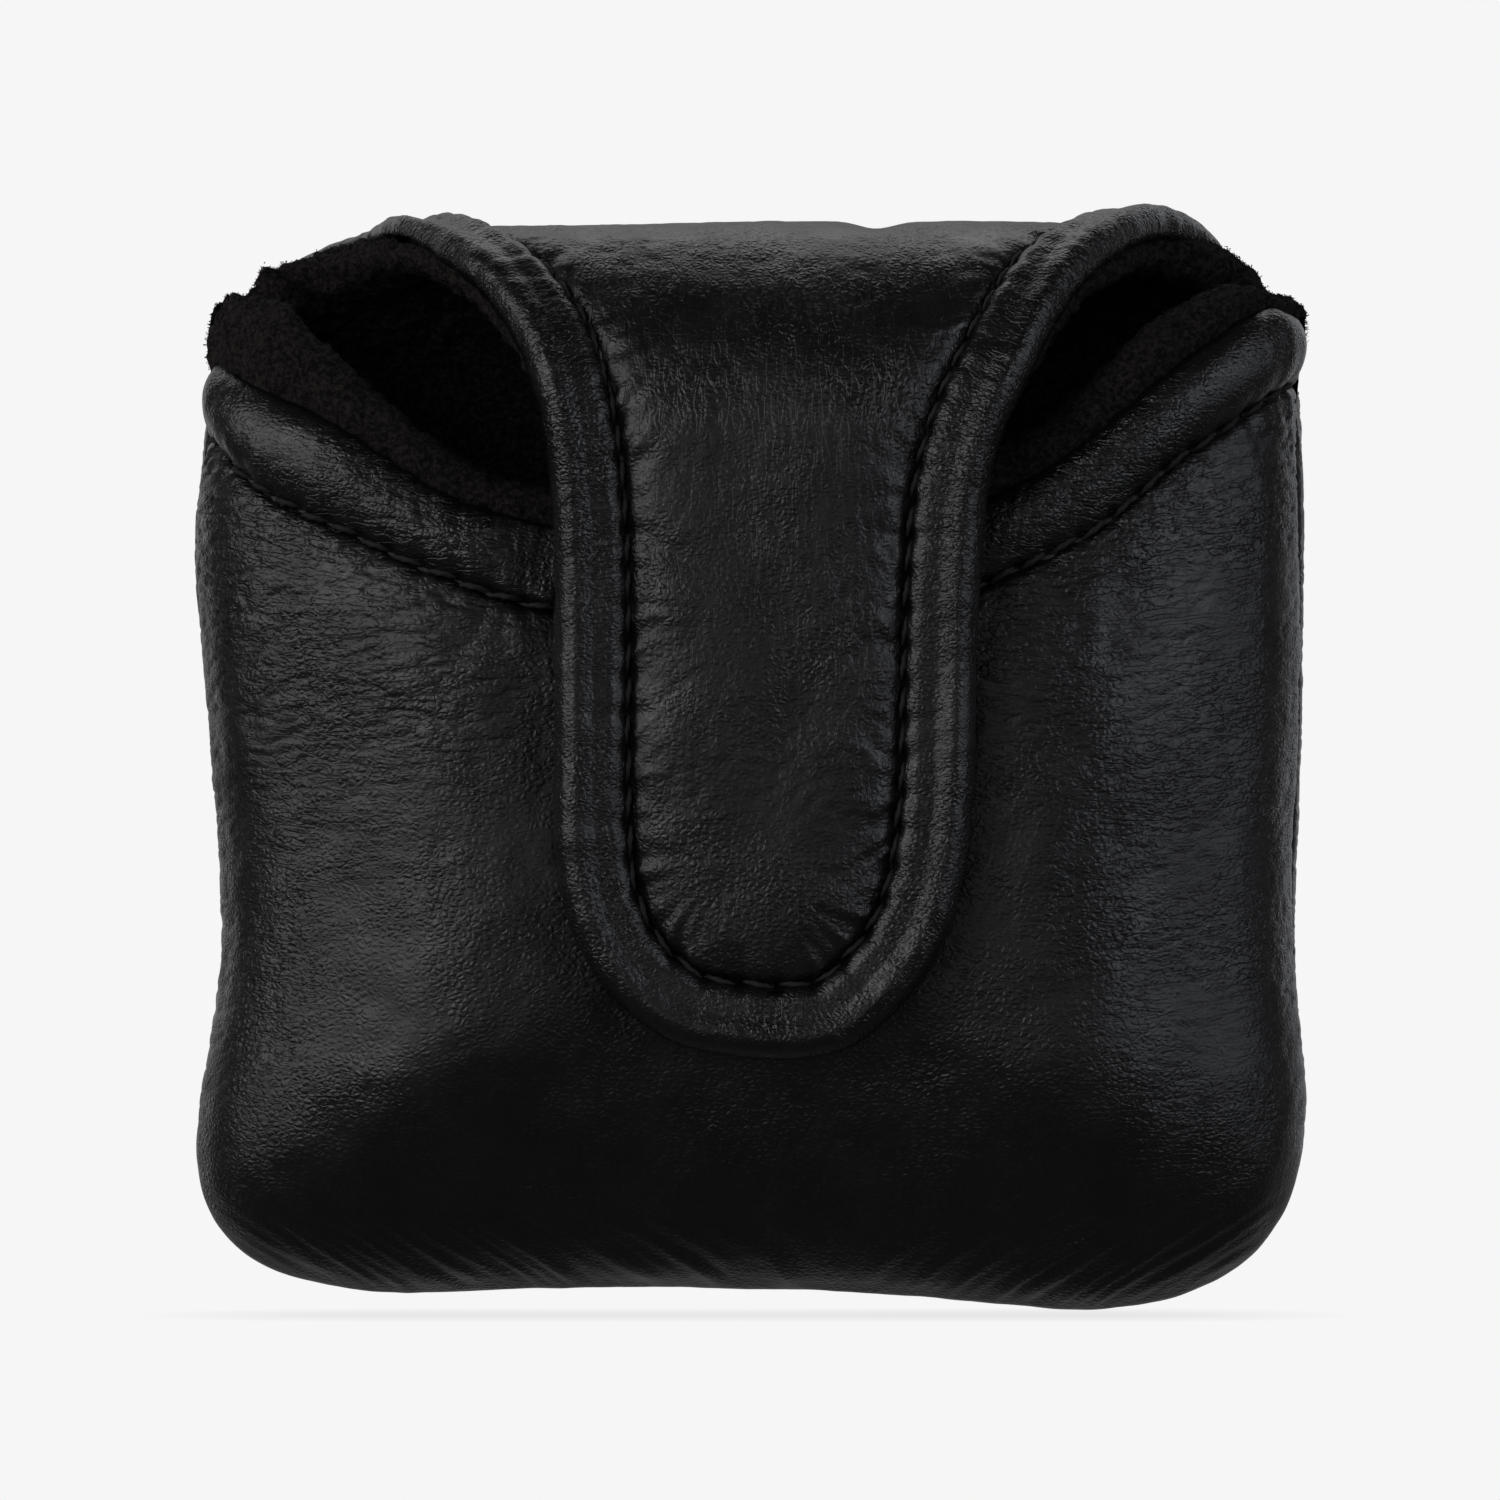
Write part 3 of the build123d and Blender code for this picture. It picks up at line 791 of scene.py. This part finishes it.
def lower_lining(side_y):
    """The lining's lower part: a face's grids moved in by the wall, pressed thin at the seam."""
    sheets = []
    for grid, room in fan_grids(int(Q / 1.6), side_y):
        normals = unit(np.cross(np.gradient(grid, axis=1), np.gradient(grid, axis=0)))
        normals[:, 0] = normals[:, 1]
        agree = np.sum(normals * (grid - np.array([0, SEAM_Y, 40])))
        depth = (WALL * pressed(room))[..., None]
        sheets.append((grid - normals * math.copysign(1, agree) * depth, {"soft": HIDDEN_PILE}))
    return sheets


# ---- stitches

def stitch_tubes(name, centres, normals, radius, material):
    """Two-ply thread: one tube for each row of centres, thinner where it dives into its hole."""
    sides, rings = 8, centres.shape[1]
    along = unit(np.gradient(centres, axis=1))
    side = unit(np.cross(along, normals))
    up = np.cross(side, along)
    angle = np.linspace(0, 2 * math.pi, sides, endpoint=False)
    twist = np.linspace(0, 2.6 * math.pi, rings)
    ply = 1 + 0.2 * np.cos(2 * (angle[None, :] - twist[:, None]))
    taper = 0.55 + 0.45 * np.sin(np.linspace(0, math.pi, rings)) ** 0.5
    size = (radius * ply * taper[:, None])[None, :, :, None]
    ring = centres[:, :, None] + size * (side[:, :, None] * np.cos(angle)[:, None]
                                         + up[:, :, None] * np.sin(angle)[:, None])
    points = ring.reshape(-1, 3)
    i = np.arange(rings - 1)[:, None] * sides
    k = np.arange(sides)
    quad = pack(i + k, i + (k + 1) % sides, i + sides + (k + 1) % sides, i + sides + k).reshape(-1, 4)
    caps = []
    for base, order in ((0, 1), ((rings - 1) * sides, -1)):
        for a in range(0, sides - 2, 2):
            caps.append([base, base + a + 1, base + a + 2, base + (a + 3) % sides][::order])
    quad = np.concatenate([quad, np.array(caps)])
    starts = np.arange(len(centres))[:, None, None] * rings * sides
    return mesh_from(name, points, (quad[None] + starts).reshape(-1, 4), material)


def stitch_rows(at, first, last, lean=0.22, rings=11):
    """Centres and normals of the stitches on a line; at(run, aside, out) gives a point on it."""
    r = np.random.default_rng(5)
    holes = np.arange(math.ceil(first / STITCH_PITCH), math.floor(last / STITCH_PITCH)) * STITCH_PITCH
    u = np.linspace(0, 1, rings)
    start = holes[:, None] + 0.10 * STITCH_PITCH
    s = start + u * 0.80 * STITCH_PITCH + r.normal(size=(len(holes), 1)) * 0.08
    aside = lean * (u - 0.5) * 2 + r.normal(size=(len(holes), 1)) * 0.08
    out = -1.35 + 0.85 * np.sin(u * math.pi) ** 0.6 + r.normal(size=(len(holes), 1)) * 0.05
    centres = at(s, aside, out)
    return centres, unit(at(s, aside, out + 1) - centres)


def line_on(surface_at, line):
    """A stitch line's place function, from a finely sampled path on a surface."""
    run = run_along(line)
    tangent = unit(np.gradient(line, axis=0))

    def at(s, aside, out):
        place, way = sampled(line, run, s), sampled(tangent, run, s)
        a, b = place[..., 0] - aside * way[..., 1], place[..., 1] + aside * way[..., 0]
        return surface_at(a, b, out + 0 * s)
    return at, run[-1]


def make_front_thread():
    at, length = line_on(front_at, rim_line_front())
    return stitch_tubes("front_rim_thread", *stitch_rows(at, 2, length - 2), 0.34, thread)


def make_seam_thread():
    """Lock stitches sunk in the groove down one side, along the bottom and up the other."""
    down = np.linspace(98, 20, 200)
    sides = [pack(curve(line, down), SEAM_Y, down) for line in (LEFT_SIDE, RIGHT_SIDE)]
    low = [grid[:, -1][grid[:, -1, 2] < 20] for grid, _ in fan_grids(60, -1)]
    path = np.concatenate([sides[0], *low, sides[1][::-1]])
    run = run_along(path)
    path = softened(sampled(path, run, np.linspace(0, run[-1], 1200)), 12)
    run = run_along(path)
    back = np.array([0, 1.0, 0])
    way = unit(np.cross(unit(np.gradient(path, axis=0)), back))
    way *= np.sign(np.sum(way * (path - np.array([0, SEAM_Y, 60])), -1))[:, None]

    def at(s, aside, out):
        return sampled(path, run, s) + sampled(way, run, s) * (out - 0.9)[..., None] + back * aside[..., None]
    return stitch_tubes("side_seam_stitches", *stitch_rows(at, 2, run[-1] - 2, lean=0.1), 0.28, thread)


# ---- pieces on the back and the tongue

def rim_sweep(rim, part, shape=None):
    """A profile swept along a stretch of the outer edge, or else the fleece's, from wing to tongue."""
    edge, way = rim.edge[part], rim.inward[part]
    if shape is None:
        under, wing = (path_even(points, 34) for points in (TONGUE_FLEECE, WING_FLEECE))
        share = smooth(6, -10, edge[:, 1])
        e, o = (a[:, None] + (b - a)[:, None] * share for a, b in zip(under, wing))
    else:
        e, o = (v[:, None] + 0 * edge[:, 0] for v in shape)
    q = edge[:, 0] + way[:, 0] * e
    t = edge[:, 1] + way[:, 1] * e
    out = np.where(o > 0, o * (1 - 0.9 * at_seam(q)), o * pinch(q))
    if shape is None:
        out = out + 1.2 * at_seam(q) * smooth(1.4, -0.4, e)
    return back_at(q, t, out), e, t


def path_even(points, count):
    """A profile at a fixed number of even steps."""
    line = path_through(points, 0.05)
    run = run_along(line)
    return sampled(line, run, np.linspace(0, run[-1], count)).T


def rows_between(rim, depth, wing, cols):
    """Rows of (q, t) from the left rim to the right one, on the wings or on the tongue."""
    line = rim.inset(depth)
    if wing:
        left, right = line[rim.left], line[rim.right][::-1]
    else:
        tongue = line[rim.tongue]
        left, right = tongue[:rim.half + 1], tongue[rim.half:][::-1]
    share = np.linspace(0, 1, cols)[:, None]
    rows = left[:, None] * (1 - share) + right[:, None] * share
    return rows[..., 0], rows[..., 1]


def wall_under(q_top, t_top, rows, limit=Q):
    """Rows of (q, t) from the pole's height up to a first row."""
    q_low, t_low = np.linspace(-limit, limit, len(q_top)), -(QUARTER + ARCH_Z - POLE_Z)
    v = np.linspace(0, 1, rows)[:, None]
    return q_low * (1 - v) + np.clip(q_top, -Q, Q) * v, t_low * (1 - v) + t_top * v


def sheet_fields(rim, q, t):
    dist, run = nearest(rim.inset(BAND), q, t)
    return {"q": np.clip(q, -Q, Q), "t": t, "rim": dist, "run": run, "room": np.clip(Q - np.abs(q), 0, None)}


def make_back_leather(rim):
    n = int(Q / CELL)
    q, t = rows_between(rim, BAND - TUCK, True, 2 * n + 1)
    lower = wall_under(q[0], t[0], int(55 / CELL))
    sheets = [(back_surface(a, b), sheet_fields(rim, a, b)) for a, b in ((q, t), lower)]
    for grid, room in fan_grids(n, 1):
        fields = {"q": np.sign(grid[..., 0]) * (Q - room), "t": grid[..., 2] - POLE_Z - FAN_DROP}
        sheets.append((grid, {**fields, "rim": FAR, "run": 0, "room": room}))
    return relief_mesh("back_leather", sheets, sheet_relief, outward, leather, grain=sheet_grain)


def make_tongue_leather(rim):
    q, t = rows_between(rim, BAND - TUCK, False, 84)
    sheets = [(back_surface(q, t), sheet_fields(rim, q, t))]
    return relief_mesh("tongue_leather", sheets, sheet_relief, outward, leather, grain=sheet_grain)


def make_band(rim, name, part):
    points, e, t = rim_sweep(rim, part, profile(LEATHER_ROLL, 0.28))
    fields = {"e": e, "s": run_along(rim.inset(BAND))[part], "crinkle": 1.0 * bell(t, 32, 22) + 0.3}
    return relief_mesh(name, [(points, fields)], band_relief, outward, band_leather, grain=band_grain)


def make_back_fleece(rim):
    sheets = []
    for part in (rim.left, rim.right):
        points, e, _ = rim_sweep(rim, part)
        sheets.append((points, {"soft": smooth(BAND, BAND - 2, e)}))
    q, t = rows_between(rim, BAND - TUCK, True, 2 * int(Q / 0.9) + 1)
    sheets.append((back_at(q, t, -WALL * pinch(q)), {"soft": 0.95 * smooth(-32, -22, t)}))
    q, t = wall_under(q[0], t[0], 40)
    sheets.append((back_at(q, t, -WALL * pinch(q)), {"soft": HIDDEN_PILE}))
    return relief_mesh("back_fleece", sheets + lower_lining(1), nap, inward, fleece, tufts(11000, 12))


def make_tongue_fleece(rim):
    points, e, _ = rim_sweep(rim, rim.tongue)
    q, t = rows_between(rim, BAND - TUCK, False, 60)
    sheets = [(points, {"soft": smooth(BAND, BAND - 2, e)}), (back_at(q, t, -WALL + 0 * q), {"soft": 0.8})]
    return relief_mesh("tongue_fleece", sheets, nap, under_tongue, fleece, tufts(9000, 13))


def under_tongue(points):
    """From the tongue towards what it lies over."""
    way = np.array([0, ARCH_Y, 0]) - points
    way[:, 0] = 0
    way[:, 2] = np.minimum(ARCH_Z - points[:, 2], 0)
    return way


def make_threads(rim):
    """Stitches of the left wing, the tongue and the right wing; the wings' stop short of the seams."""
    line = rim.inset(BAND)
    run = run_along(line)
    at, _ = line_on(back_at, line)
    stretches = (("back_thread_left", rim.left, 4, 0), ("tongue_thread", rim.tongue, 0, 0),
                 ("back_thread_right", rim.right, 0, 4))
    return [stitch_tubes(name, *stitch_rows(at, run[part][0] + skip, run[part][-1] - stop), 0.31, thread)
            for name, part, skip, stop in stretches]


# ---- hidden pads

def make_front_foam():
    n = int(Q / 2.4)
    q = np.linspace(-Q + 3, Q - 3, 2 * n + 1)
    top = front_line(RIM_EDGE, q) - 3
    v, qq = np.meshgrid(np.linspace(0, 1, 30), q, indexing="ij")
    z = 14 + v * (top - 14)
    sink = np.clip((POLE_Z - z) / (POLE_Z - 2), 0, 1)
    points = front_at(qq, np.maximum(z, POLE_Z), -1.5 * pinch(qq))
    points[..., 1] = SEAM_Y + (points[..., 1] - SEAM_Y) * (1 - sink**2.1) ** (1 / 2.1)
    points[..., 2] = np.minimum(points[..., 2], z)
    return thick("front_foam_pad", [points], 1.2, foam)


def make_back_foam(rim):
    q, t = rows_between(rim, 4, True, 61)
    limit = Q - 3
    rows = [wall_under(q[0], t[0], 20, limit), (q, t)]
    grids = [(np.clip(a, -limit, limit), b) for a, b in rows]
    return thick("back_foam_pad", [back_at(a, b, -1.6 * pinch(a)) for a, b in grids], 1.2, foam)


def make_tongue_foam(rim):
    q, t = rows_between(rim, 4, False, 24)
    return thick("tongue_foam_pad", [back_at(q[::4], t[::4], -1.8 + 0 * q[::4])], 1.4, foam)


def make_sleeve():
    """Cloth sleeve that holds the tongue's magnet, sewn inside over the foam."""
    low, high = box_mm("flap_magnet_pouch")
    q, z = np.meshgrid(np.linspace(low[0] + 1, high[0] - 1, 24), np.linspace(high[2] - 1, low[2] + 2.5, 24))
    bow = 0.15 * np.cos(q * 0.25)
    return thick("flap_magnet_sleeve", [back_at(q, t_of(z, True), -2.0 + bow)], 0.3, cloth)


# ---- materials

class Tree:
    """The node tree of a material or a world, with a short call for each kind of node in use."""

    def __init__(self, owner):
        owner.use_nodes = True
        self.nodes, self.links = owner.node_tree.nodes, owner.node_tree.links

    def put(self, node, inputs):
        """Set a node's inputs, each from another node's output or to a plain value."""
        for key, value in inputs.items():
            if isinstance(value, bpy.types.NodeSocket):
                self.links.new(value, node.inputs[key])
            else:
                node.inputs[key].default_value = value

    def add(self, kind, inputs=None, **settings):
        node = self.nodes.new("ShaderNode" + kind)
        for key, value in settings.items():
            setattr(node, key, value)
        self.put(node, inputs or {})
        return node

    def stored(self, name):
        """A vector stored at each point of the mesh."""
        return self.add("Attribute", attribute_name=name).outputs["Vector"]

    def stretched(self, place, scale):
        return self.add("Mapping", {"Vector": place, "Scale": scale}).outputs["Vector"]

    def noise(self, place, scale, detail, roughness=0.5, distortion=0.0, output="Fac"):
        inputs = {"Vector": place, "Scale": scale, "Detail": detail, "Roughness": roughness}
        return self.add("TexNoise", {**inputs, "Distortion": distortion}).outputs[output]

    def ramp(self, value, low, high, low_at, high_at):
        """Two colours blended by a value."""
        node = self.add("ValToRGB", {"Fac": value})
        first, last = node.color_ramp.elements
        first.position, first.color = low_at, (*low, 1)
        last.position, last.color = high_at, (*high, 1)
        return node.outputs["Color"]

    def mixed(self, blend, share, one, other):
        inputs = {"Fac": share, "Color1": one, "Color2": other}
        return self.add("MixRGB", inputs, blend_type=blend).outputs["Color"]

    def spread(self, value, low, high, from_low, from_high, soft=True):
        """A value moved from one range to another."""
        inputs = {"Value": value, "From Min": from_low, "From Max": from_high, "To Min": low, "To Max": high}
        node = self.add("MapRange", inputs, interpolation_type="SMOOTHSTEP" if soft else "LINEAR")
        return node.outputs["Result"]

    def maths(self, operation, *values):
        return self.add("Math", dict(enumerate(values)), operation=operation).outputs["Value"]

    def bump(self, height, depth_mm, strength=1.0):
        inputs = {"Height": height, "Distance": depth_mm * MM, "Strength": strength}
        return self.add("Bump", inputs).outputs["Normal"]


def shader(name):
    """A new material, its tree and its principled shader."""
    mat = bpy.data.materials.new(name)
    tree = Tree(mat)
    return mat, tree, tree.nodes["Principled BSDF"]


def creases(tree):
    """Fine creases along the piece's own grain: their height, and how deep they are there."""
    parts = tree.add("SeparateXYZ", {"Vector": tree.stored("grain")}).outputs
    flat = tree.add("CombineXYZ", {"X": parts["X"], "Y": parts["Y"]}).outputs["Vector"]
    lines = tree.noise(tree.stretched(flat, (0.30, 1.20, 1)), 1.0, 1.0, 0.5, 0.4)
    away = tree.maths("ABSOLUTE", tree.maths("SUBTRACT", lines, 0.5))
    return tree.spread(away, 0, 1, 0, 0.055), tree.maths("MULTIPLY", parts["Z"], 0.75)


def leather_material(name, dark, light, rough, pebble):
    """Black pebble-grained leather: cells, creases, fine pores, soft blotches, a worn sheen, and painted
    shade darkening the valleys between the cells.
    """
    mat, tree, bsdf = shader(name)
    place = tree.stored("rest_mm")
    wander = tree.noise(place, 0.8, 2.0, output="Color")
    pushed = tree.mixed("LINEAR_LIGHT", 0.3, tree.stretched(place, (0.8, 0.8, 1.1)), wander)
    cells = tree.add("TexVoronoi", {"Vector": pushed, "Scale": 1 / pebble}, feature="DISTANCE_TO_EDGE")
    domes = tree.spread(cells.outputs["Distance"], 0, 1, 0, 0.42)
    pebbles = tree.maths("MULTIPLY_ADD", tree.noise(place, 2.4, 2.0), 0.5, domes)
    patch = tree.noise(place, 0.09, 3.0)
    pebbles = tree.maths("MULTIPLY", pebbles, tree.spread(patch, 0.5, 1.2, 0.38, 0.62, soft=False))
    crease, depth = creases(tree)
    depth = tree.maths("MULTIPLY", depth, tree.spread(patch, 0.5, 1.5, 0.4, 0.6, soft=False))
    height = tree.maths("MULTIPLY_ADD", crease, depth, pebbles)
    blotch = tree.noise(place, 0.14, 5.0, 0.6)
    # colour of the blotches, halved towards the valleys between the pebble cells: painted shade in the
    # grain's recesses
    tone = tree.mixed("MULTIPLY", 0.5, tree.ramp(blotch, dark, light, 0.3, 0.72), domes)
    gloss = tree.spread(blotch, rough - 0.07, rough + 0.09, 0.25, 0.75, soft=False)
    tree.put(bsdf, {"Base Color": tone, "Roughness": gloss, "Normal": tree.bump(height, GRAIN_DEPTH)})
    return mat


def fleece_material(name, dark, light):
    """Short matt pile: clumps of nap, and the pale bloom of hair ends."""
    mat, tree, bsdf = shader(name)
    clump = tree.noise(tree.stored("rest_mm"), 1.7, 5.0, 0.7)
    tree.put(bsdf, {"Base Color": tree.ramp(clump, dark, light, 0.44, 0.60), "Normal": tree.bump(clump, 0.9),
                    "Roughness": 0.95, "Specular IOR Level": 0.1, "Sheen Weight": 0.10,
                    "Sheen Roughness": 0.6, "Sheen Tint": (0.30, 0.27, 0.26, 1)})
    return mat


def grained_material(name, dark, light, scale, rough, depth_mm, metallic=0.0, own=True):
    """Two tones of fine noise with relief, on a made piece or on a CAD one."""
    mat, tree, bsdf = shader(name)
    place = tree.stored("rest_mm") if own else tree.add("TexCoord").outputs["Object"]
    grain = tree.noise(place, scale, 4.0)
    tree.put(bsdf, {"Base Color": tree.ramp(grain, dark, light, 0.3, 0.7), "Roughness": rough,
                    "Normal": tree.bump(grain, depth_mm, 0.5), "Metallic": metallic})
    return mat


GRAIN_DEPTH = 0.055         # relief of the leather's grain, millimetres
CLOTH = (0.010, 0.010, 0.012), (0.03, 0.03, 0.034)
leather = leather_material("panel_leather", (0.0028, 0.0027, 0.0031), (0.005, 0.0048, 0.0056), 0.38, 0.66)
band_leather = leather_material("band_leather", (0.003, 0.0029, 0.0032), (0.0052, 0.005, 0.0057), 0.34, 0.56)
fleece = fleece_material("fleece", (0.0006, 0.0005, 0.0005), (0.027, 0.0235, 0.0215))
thread = grained_material("thread", (0.0015, 0.0015, 0.0016), (0.006, 0.006, 0.0065), 4.0, 0.8, 0.08)
foam = grained_material("foam", (0.03, 0.03, 0.03), (0.06, 0.06, 0.06), 1.5, 0.9, 0.2)
cloth = grained_material("pouch_cloth", *CLOTH, 2.5, 0.85, 0.05)
cad_cloth = grained_material("inner_cloth", *CLOTH, 2500, 0.85, 0.05, own=False)
nickel = grained_material("magnet", (0.45, 0.45, 0.46), (0.6, 0.6, 0.6), 300, 0.3, 0.02, 1.0, own=False)


# ---- the cover, piece by piece


def fit(piece, nodes, body=None, across=None):
    """Hide the CAD nodes a piece stands for, and parent the piece to the body it moves with; a piece across a
    joint only has its transform baked in place.
    """
    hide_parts(*nodes)
    if body:
        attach(piece, body)
    if across == "root":
        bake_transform(piece)
    if across == "fold":
        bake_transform(piece)


rim = Rim(0.42)
fit(make_front_leather(), ["front_panel"], body="pouch")
fit(make_front_band(), ["front_rim_binding"], body="pouch")
fit(make_front_fleece(), ["front_lining"], body="pouch")
fit(make_front_thread(), ["front_rim_stitches"], body="pouch")
fit(make_seam_thread(), ["side_seam_thread"], body="pouch")
fit(make_front_foam(), ["front_foam"], body="pouch")

fit(make_back_leather(rim), ["back_panel"], across="root")
for label, part in (("back_band_left", rim.left), ("back_band_right", rim.right)):
    fit(make_band(rim, label, part), ["back_rim_binding"], across="root")
fit(make_back_fleece(rim), ["back_lining"], across="root")
fit(make_back_foam(rim), ["back_foam"], across="root")

fit(make_tongue_leather(rim), ["bridge_leather", "flap_leather"], across="fold")
fit(make_band(rim, "tongue_band", rim.tongue), ["bridge_binding", "flap_binding"],
    across="fold")
fit(make_tongue_fleece(rim), ["bridge_lining", "flap_lining"], across="fold")
fit(make_tongue_foam(rim), ["bridge_foam", "flap_foam"], across="fold")
fit(make_sleeve(), ["flap_magnet_pouch"], body="flap")
left_thread, tongue_thread, right_thread = make_threads(rim)
fit(left_thread, ["back_rim_stitches"], across="root")
fit(right_thread, ["back_rim_stitches"], across="root")
fit(tongue_thread, ["bridge_stitches", "flap_stitches"], across="fold")

for node in ("front_magnet", "flap_magnet", "front_magnet_pouch"):
    shown = frame["nodes"][node]
    for slot in shown.material_slots:
        slot.material = cad_cloth if node.endswith("pouch") else nickel


# ---- stage, lights and camera

PALE = 0.922                # linear tone of the backdrop
VIEW_WIDTH = 0.16216        # width of the frame at the cover, metres
VIEW_Z = 0.0608
LENS, SENSOR = 400.0, 36.0
AIM = Vector((0, 0, 0.06))


def softbox(name, azimuth, height, distance, size, power, colour):
    """Soft light facing the cover; azimuth in degrees from the front, towards +X."""
    data = bpy.data.lights.new(name, "AREA")
    data.shape = "RECTANGLE"
    data.size, data.size_y = size
    data.energy = power
    data.color = colour
    lamp = bpy.data.objects.new(name, data)
    turn = math.radians(azimuth)
    lamp.location = (distance * math.sin(turn), -distance * math.cos(turn), height)
    lamp.rotation_euler = (AIM - lamp.location).to_track_quat("-Z", "Y").to_euler()
    bpy.context.scene.collection.objects.link(lamp)


def make_floor():
    """Pale floor that only the camera sees, darker where the cover shades it."""
    bpy.ops.mesh.primitive_circle_add(vertices=96, radius=6.0, fill_type="NGON", location=(0, 0, -0.0004))
    floor = bpy.context.object
    floor.name = "floor"
    mat = bpy.data.materials.new("floor")
    tree = Tree(mat)
    tree.nodes.clear()
    shade = tree.add("AmbientOcclusion", {"Distance": 0.015}).outputs["AO"]
    glow = tree.add("Emission", {"Color": tree.spread(shade, 0.80, PALE, 0.2, 0.95, soft=False)})
    tree.add("OutputMaterial", {"Surface": glow.outputs["Emission"]})
    floor.data.materials.append(mat)
    floor.visible_diffuse = floor.visible_glossy = floor.visible_shadow = False


def make_world():
    """Pale to the camera; to the leather, dim in front and lighter behind, where the backdrop is."""
    world = bpy.data.worlds.new("studio")
    bpy.context.scene.world = world
    tree = Tree(world)
    back = tree.nodes["Background"]
    back.inputs["Color"].default_value = (PALE, PALE, PALE, 1)
    way = tree.add("SeparateXYZ", {"Vector": tree.add("TexCoord").outputs["Generated"]}).outputs
    behind = tree.spread(way["Y"], 0.04, 0.34, 0.35, 0.9)
    below = tree.spread(way["Z"], 0.075, 0.035, -0.6, -0.1)
    strength = tree.maths("MAXIMUM", behind, below)
    fill = tree.add("Background", {"Color": (0.98, 0.98, 1.0, 1), "Strength": strength})
    mix = tree.add("MixShader", {"Fac": tree.add("LightPath").outputs["Is Camera Ray"],
                                 1: fill.outputs["Background"], 2: back.outputs["Background"]})
    tree.put(tree.nodes["World Output"], {"Surface": mix.outputs["Shader"]})


def make_camera():
    """Long lens, level with the middle of the cover, looking at its front."""
    data = bpy.data.cameras.new("camera")
    data.lens, data.sensor_width, data.clip_end = LENS, SENSOR, 20
    camera = bpy.data.objects.new("camera", data)
    camera.location = (0, -VIEW_WIDTH * LENS / SENSOR, VIEW_Z)
    camera.rotation_euler = (math.pi / 2, 0, 0)
    bpy.context.scene.collection.objects.link(camera)
    bpy.context.scene.camera = camera


# azimuth, height, distance, size, power and colour of each light
WARM, COOL = (1.0, 0.98, 1.0), (0.90, 0.93, 1.0)
LIGHTS = {
    "left_near": (-21, 0.20, 1.25, (0.30, 0.6), 0.5, WARM),
    "left_front": (-38, 0.45, 1.25, (0.36, 0.85), 4.3, WARM),
    "left_side": (-72, 0.40, 1.25, (0.40, 0.9), 3.8, WARM),
    "right_front": (44, 0.40, 1.25, (0.36, 0.9), 3.0, COOL),
    "right_side": (76, 0.25, 1.25, (0.35, 1.0), 1.6, COOL),
    "top_back": (180, 0.95, 0.8, (1.2, 0.5), 2.3, (0.98, 0.98, 1.0)),
    "back_left": (-150, 0.35, 1.3, (0.4, 1.0), 0.8, WARM),
    "back_right": (150, 0.35, 1.3, (0.4, 1.0), 0.8, COOL),
    "front": (0, 0.10, 1.6, (0.5, 0.5), 0.5, (0.95, 0.95, 1.0)),
}
for label, setting in LIGHTS.items():
    softbox(label, *setting)
make_floor()
make_world()
make_camera()
bpy.context.scene.view_settings.view_transform = "Standard"
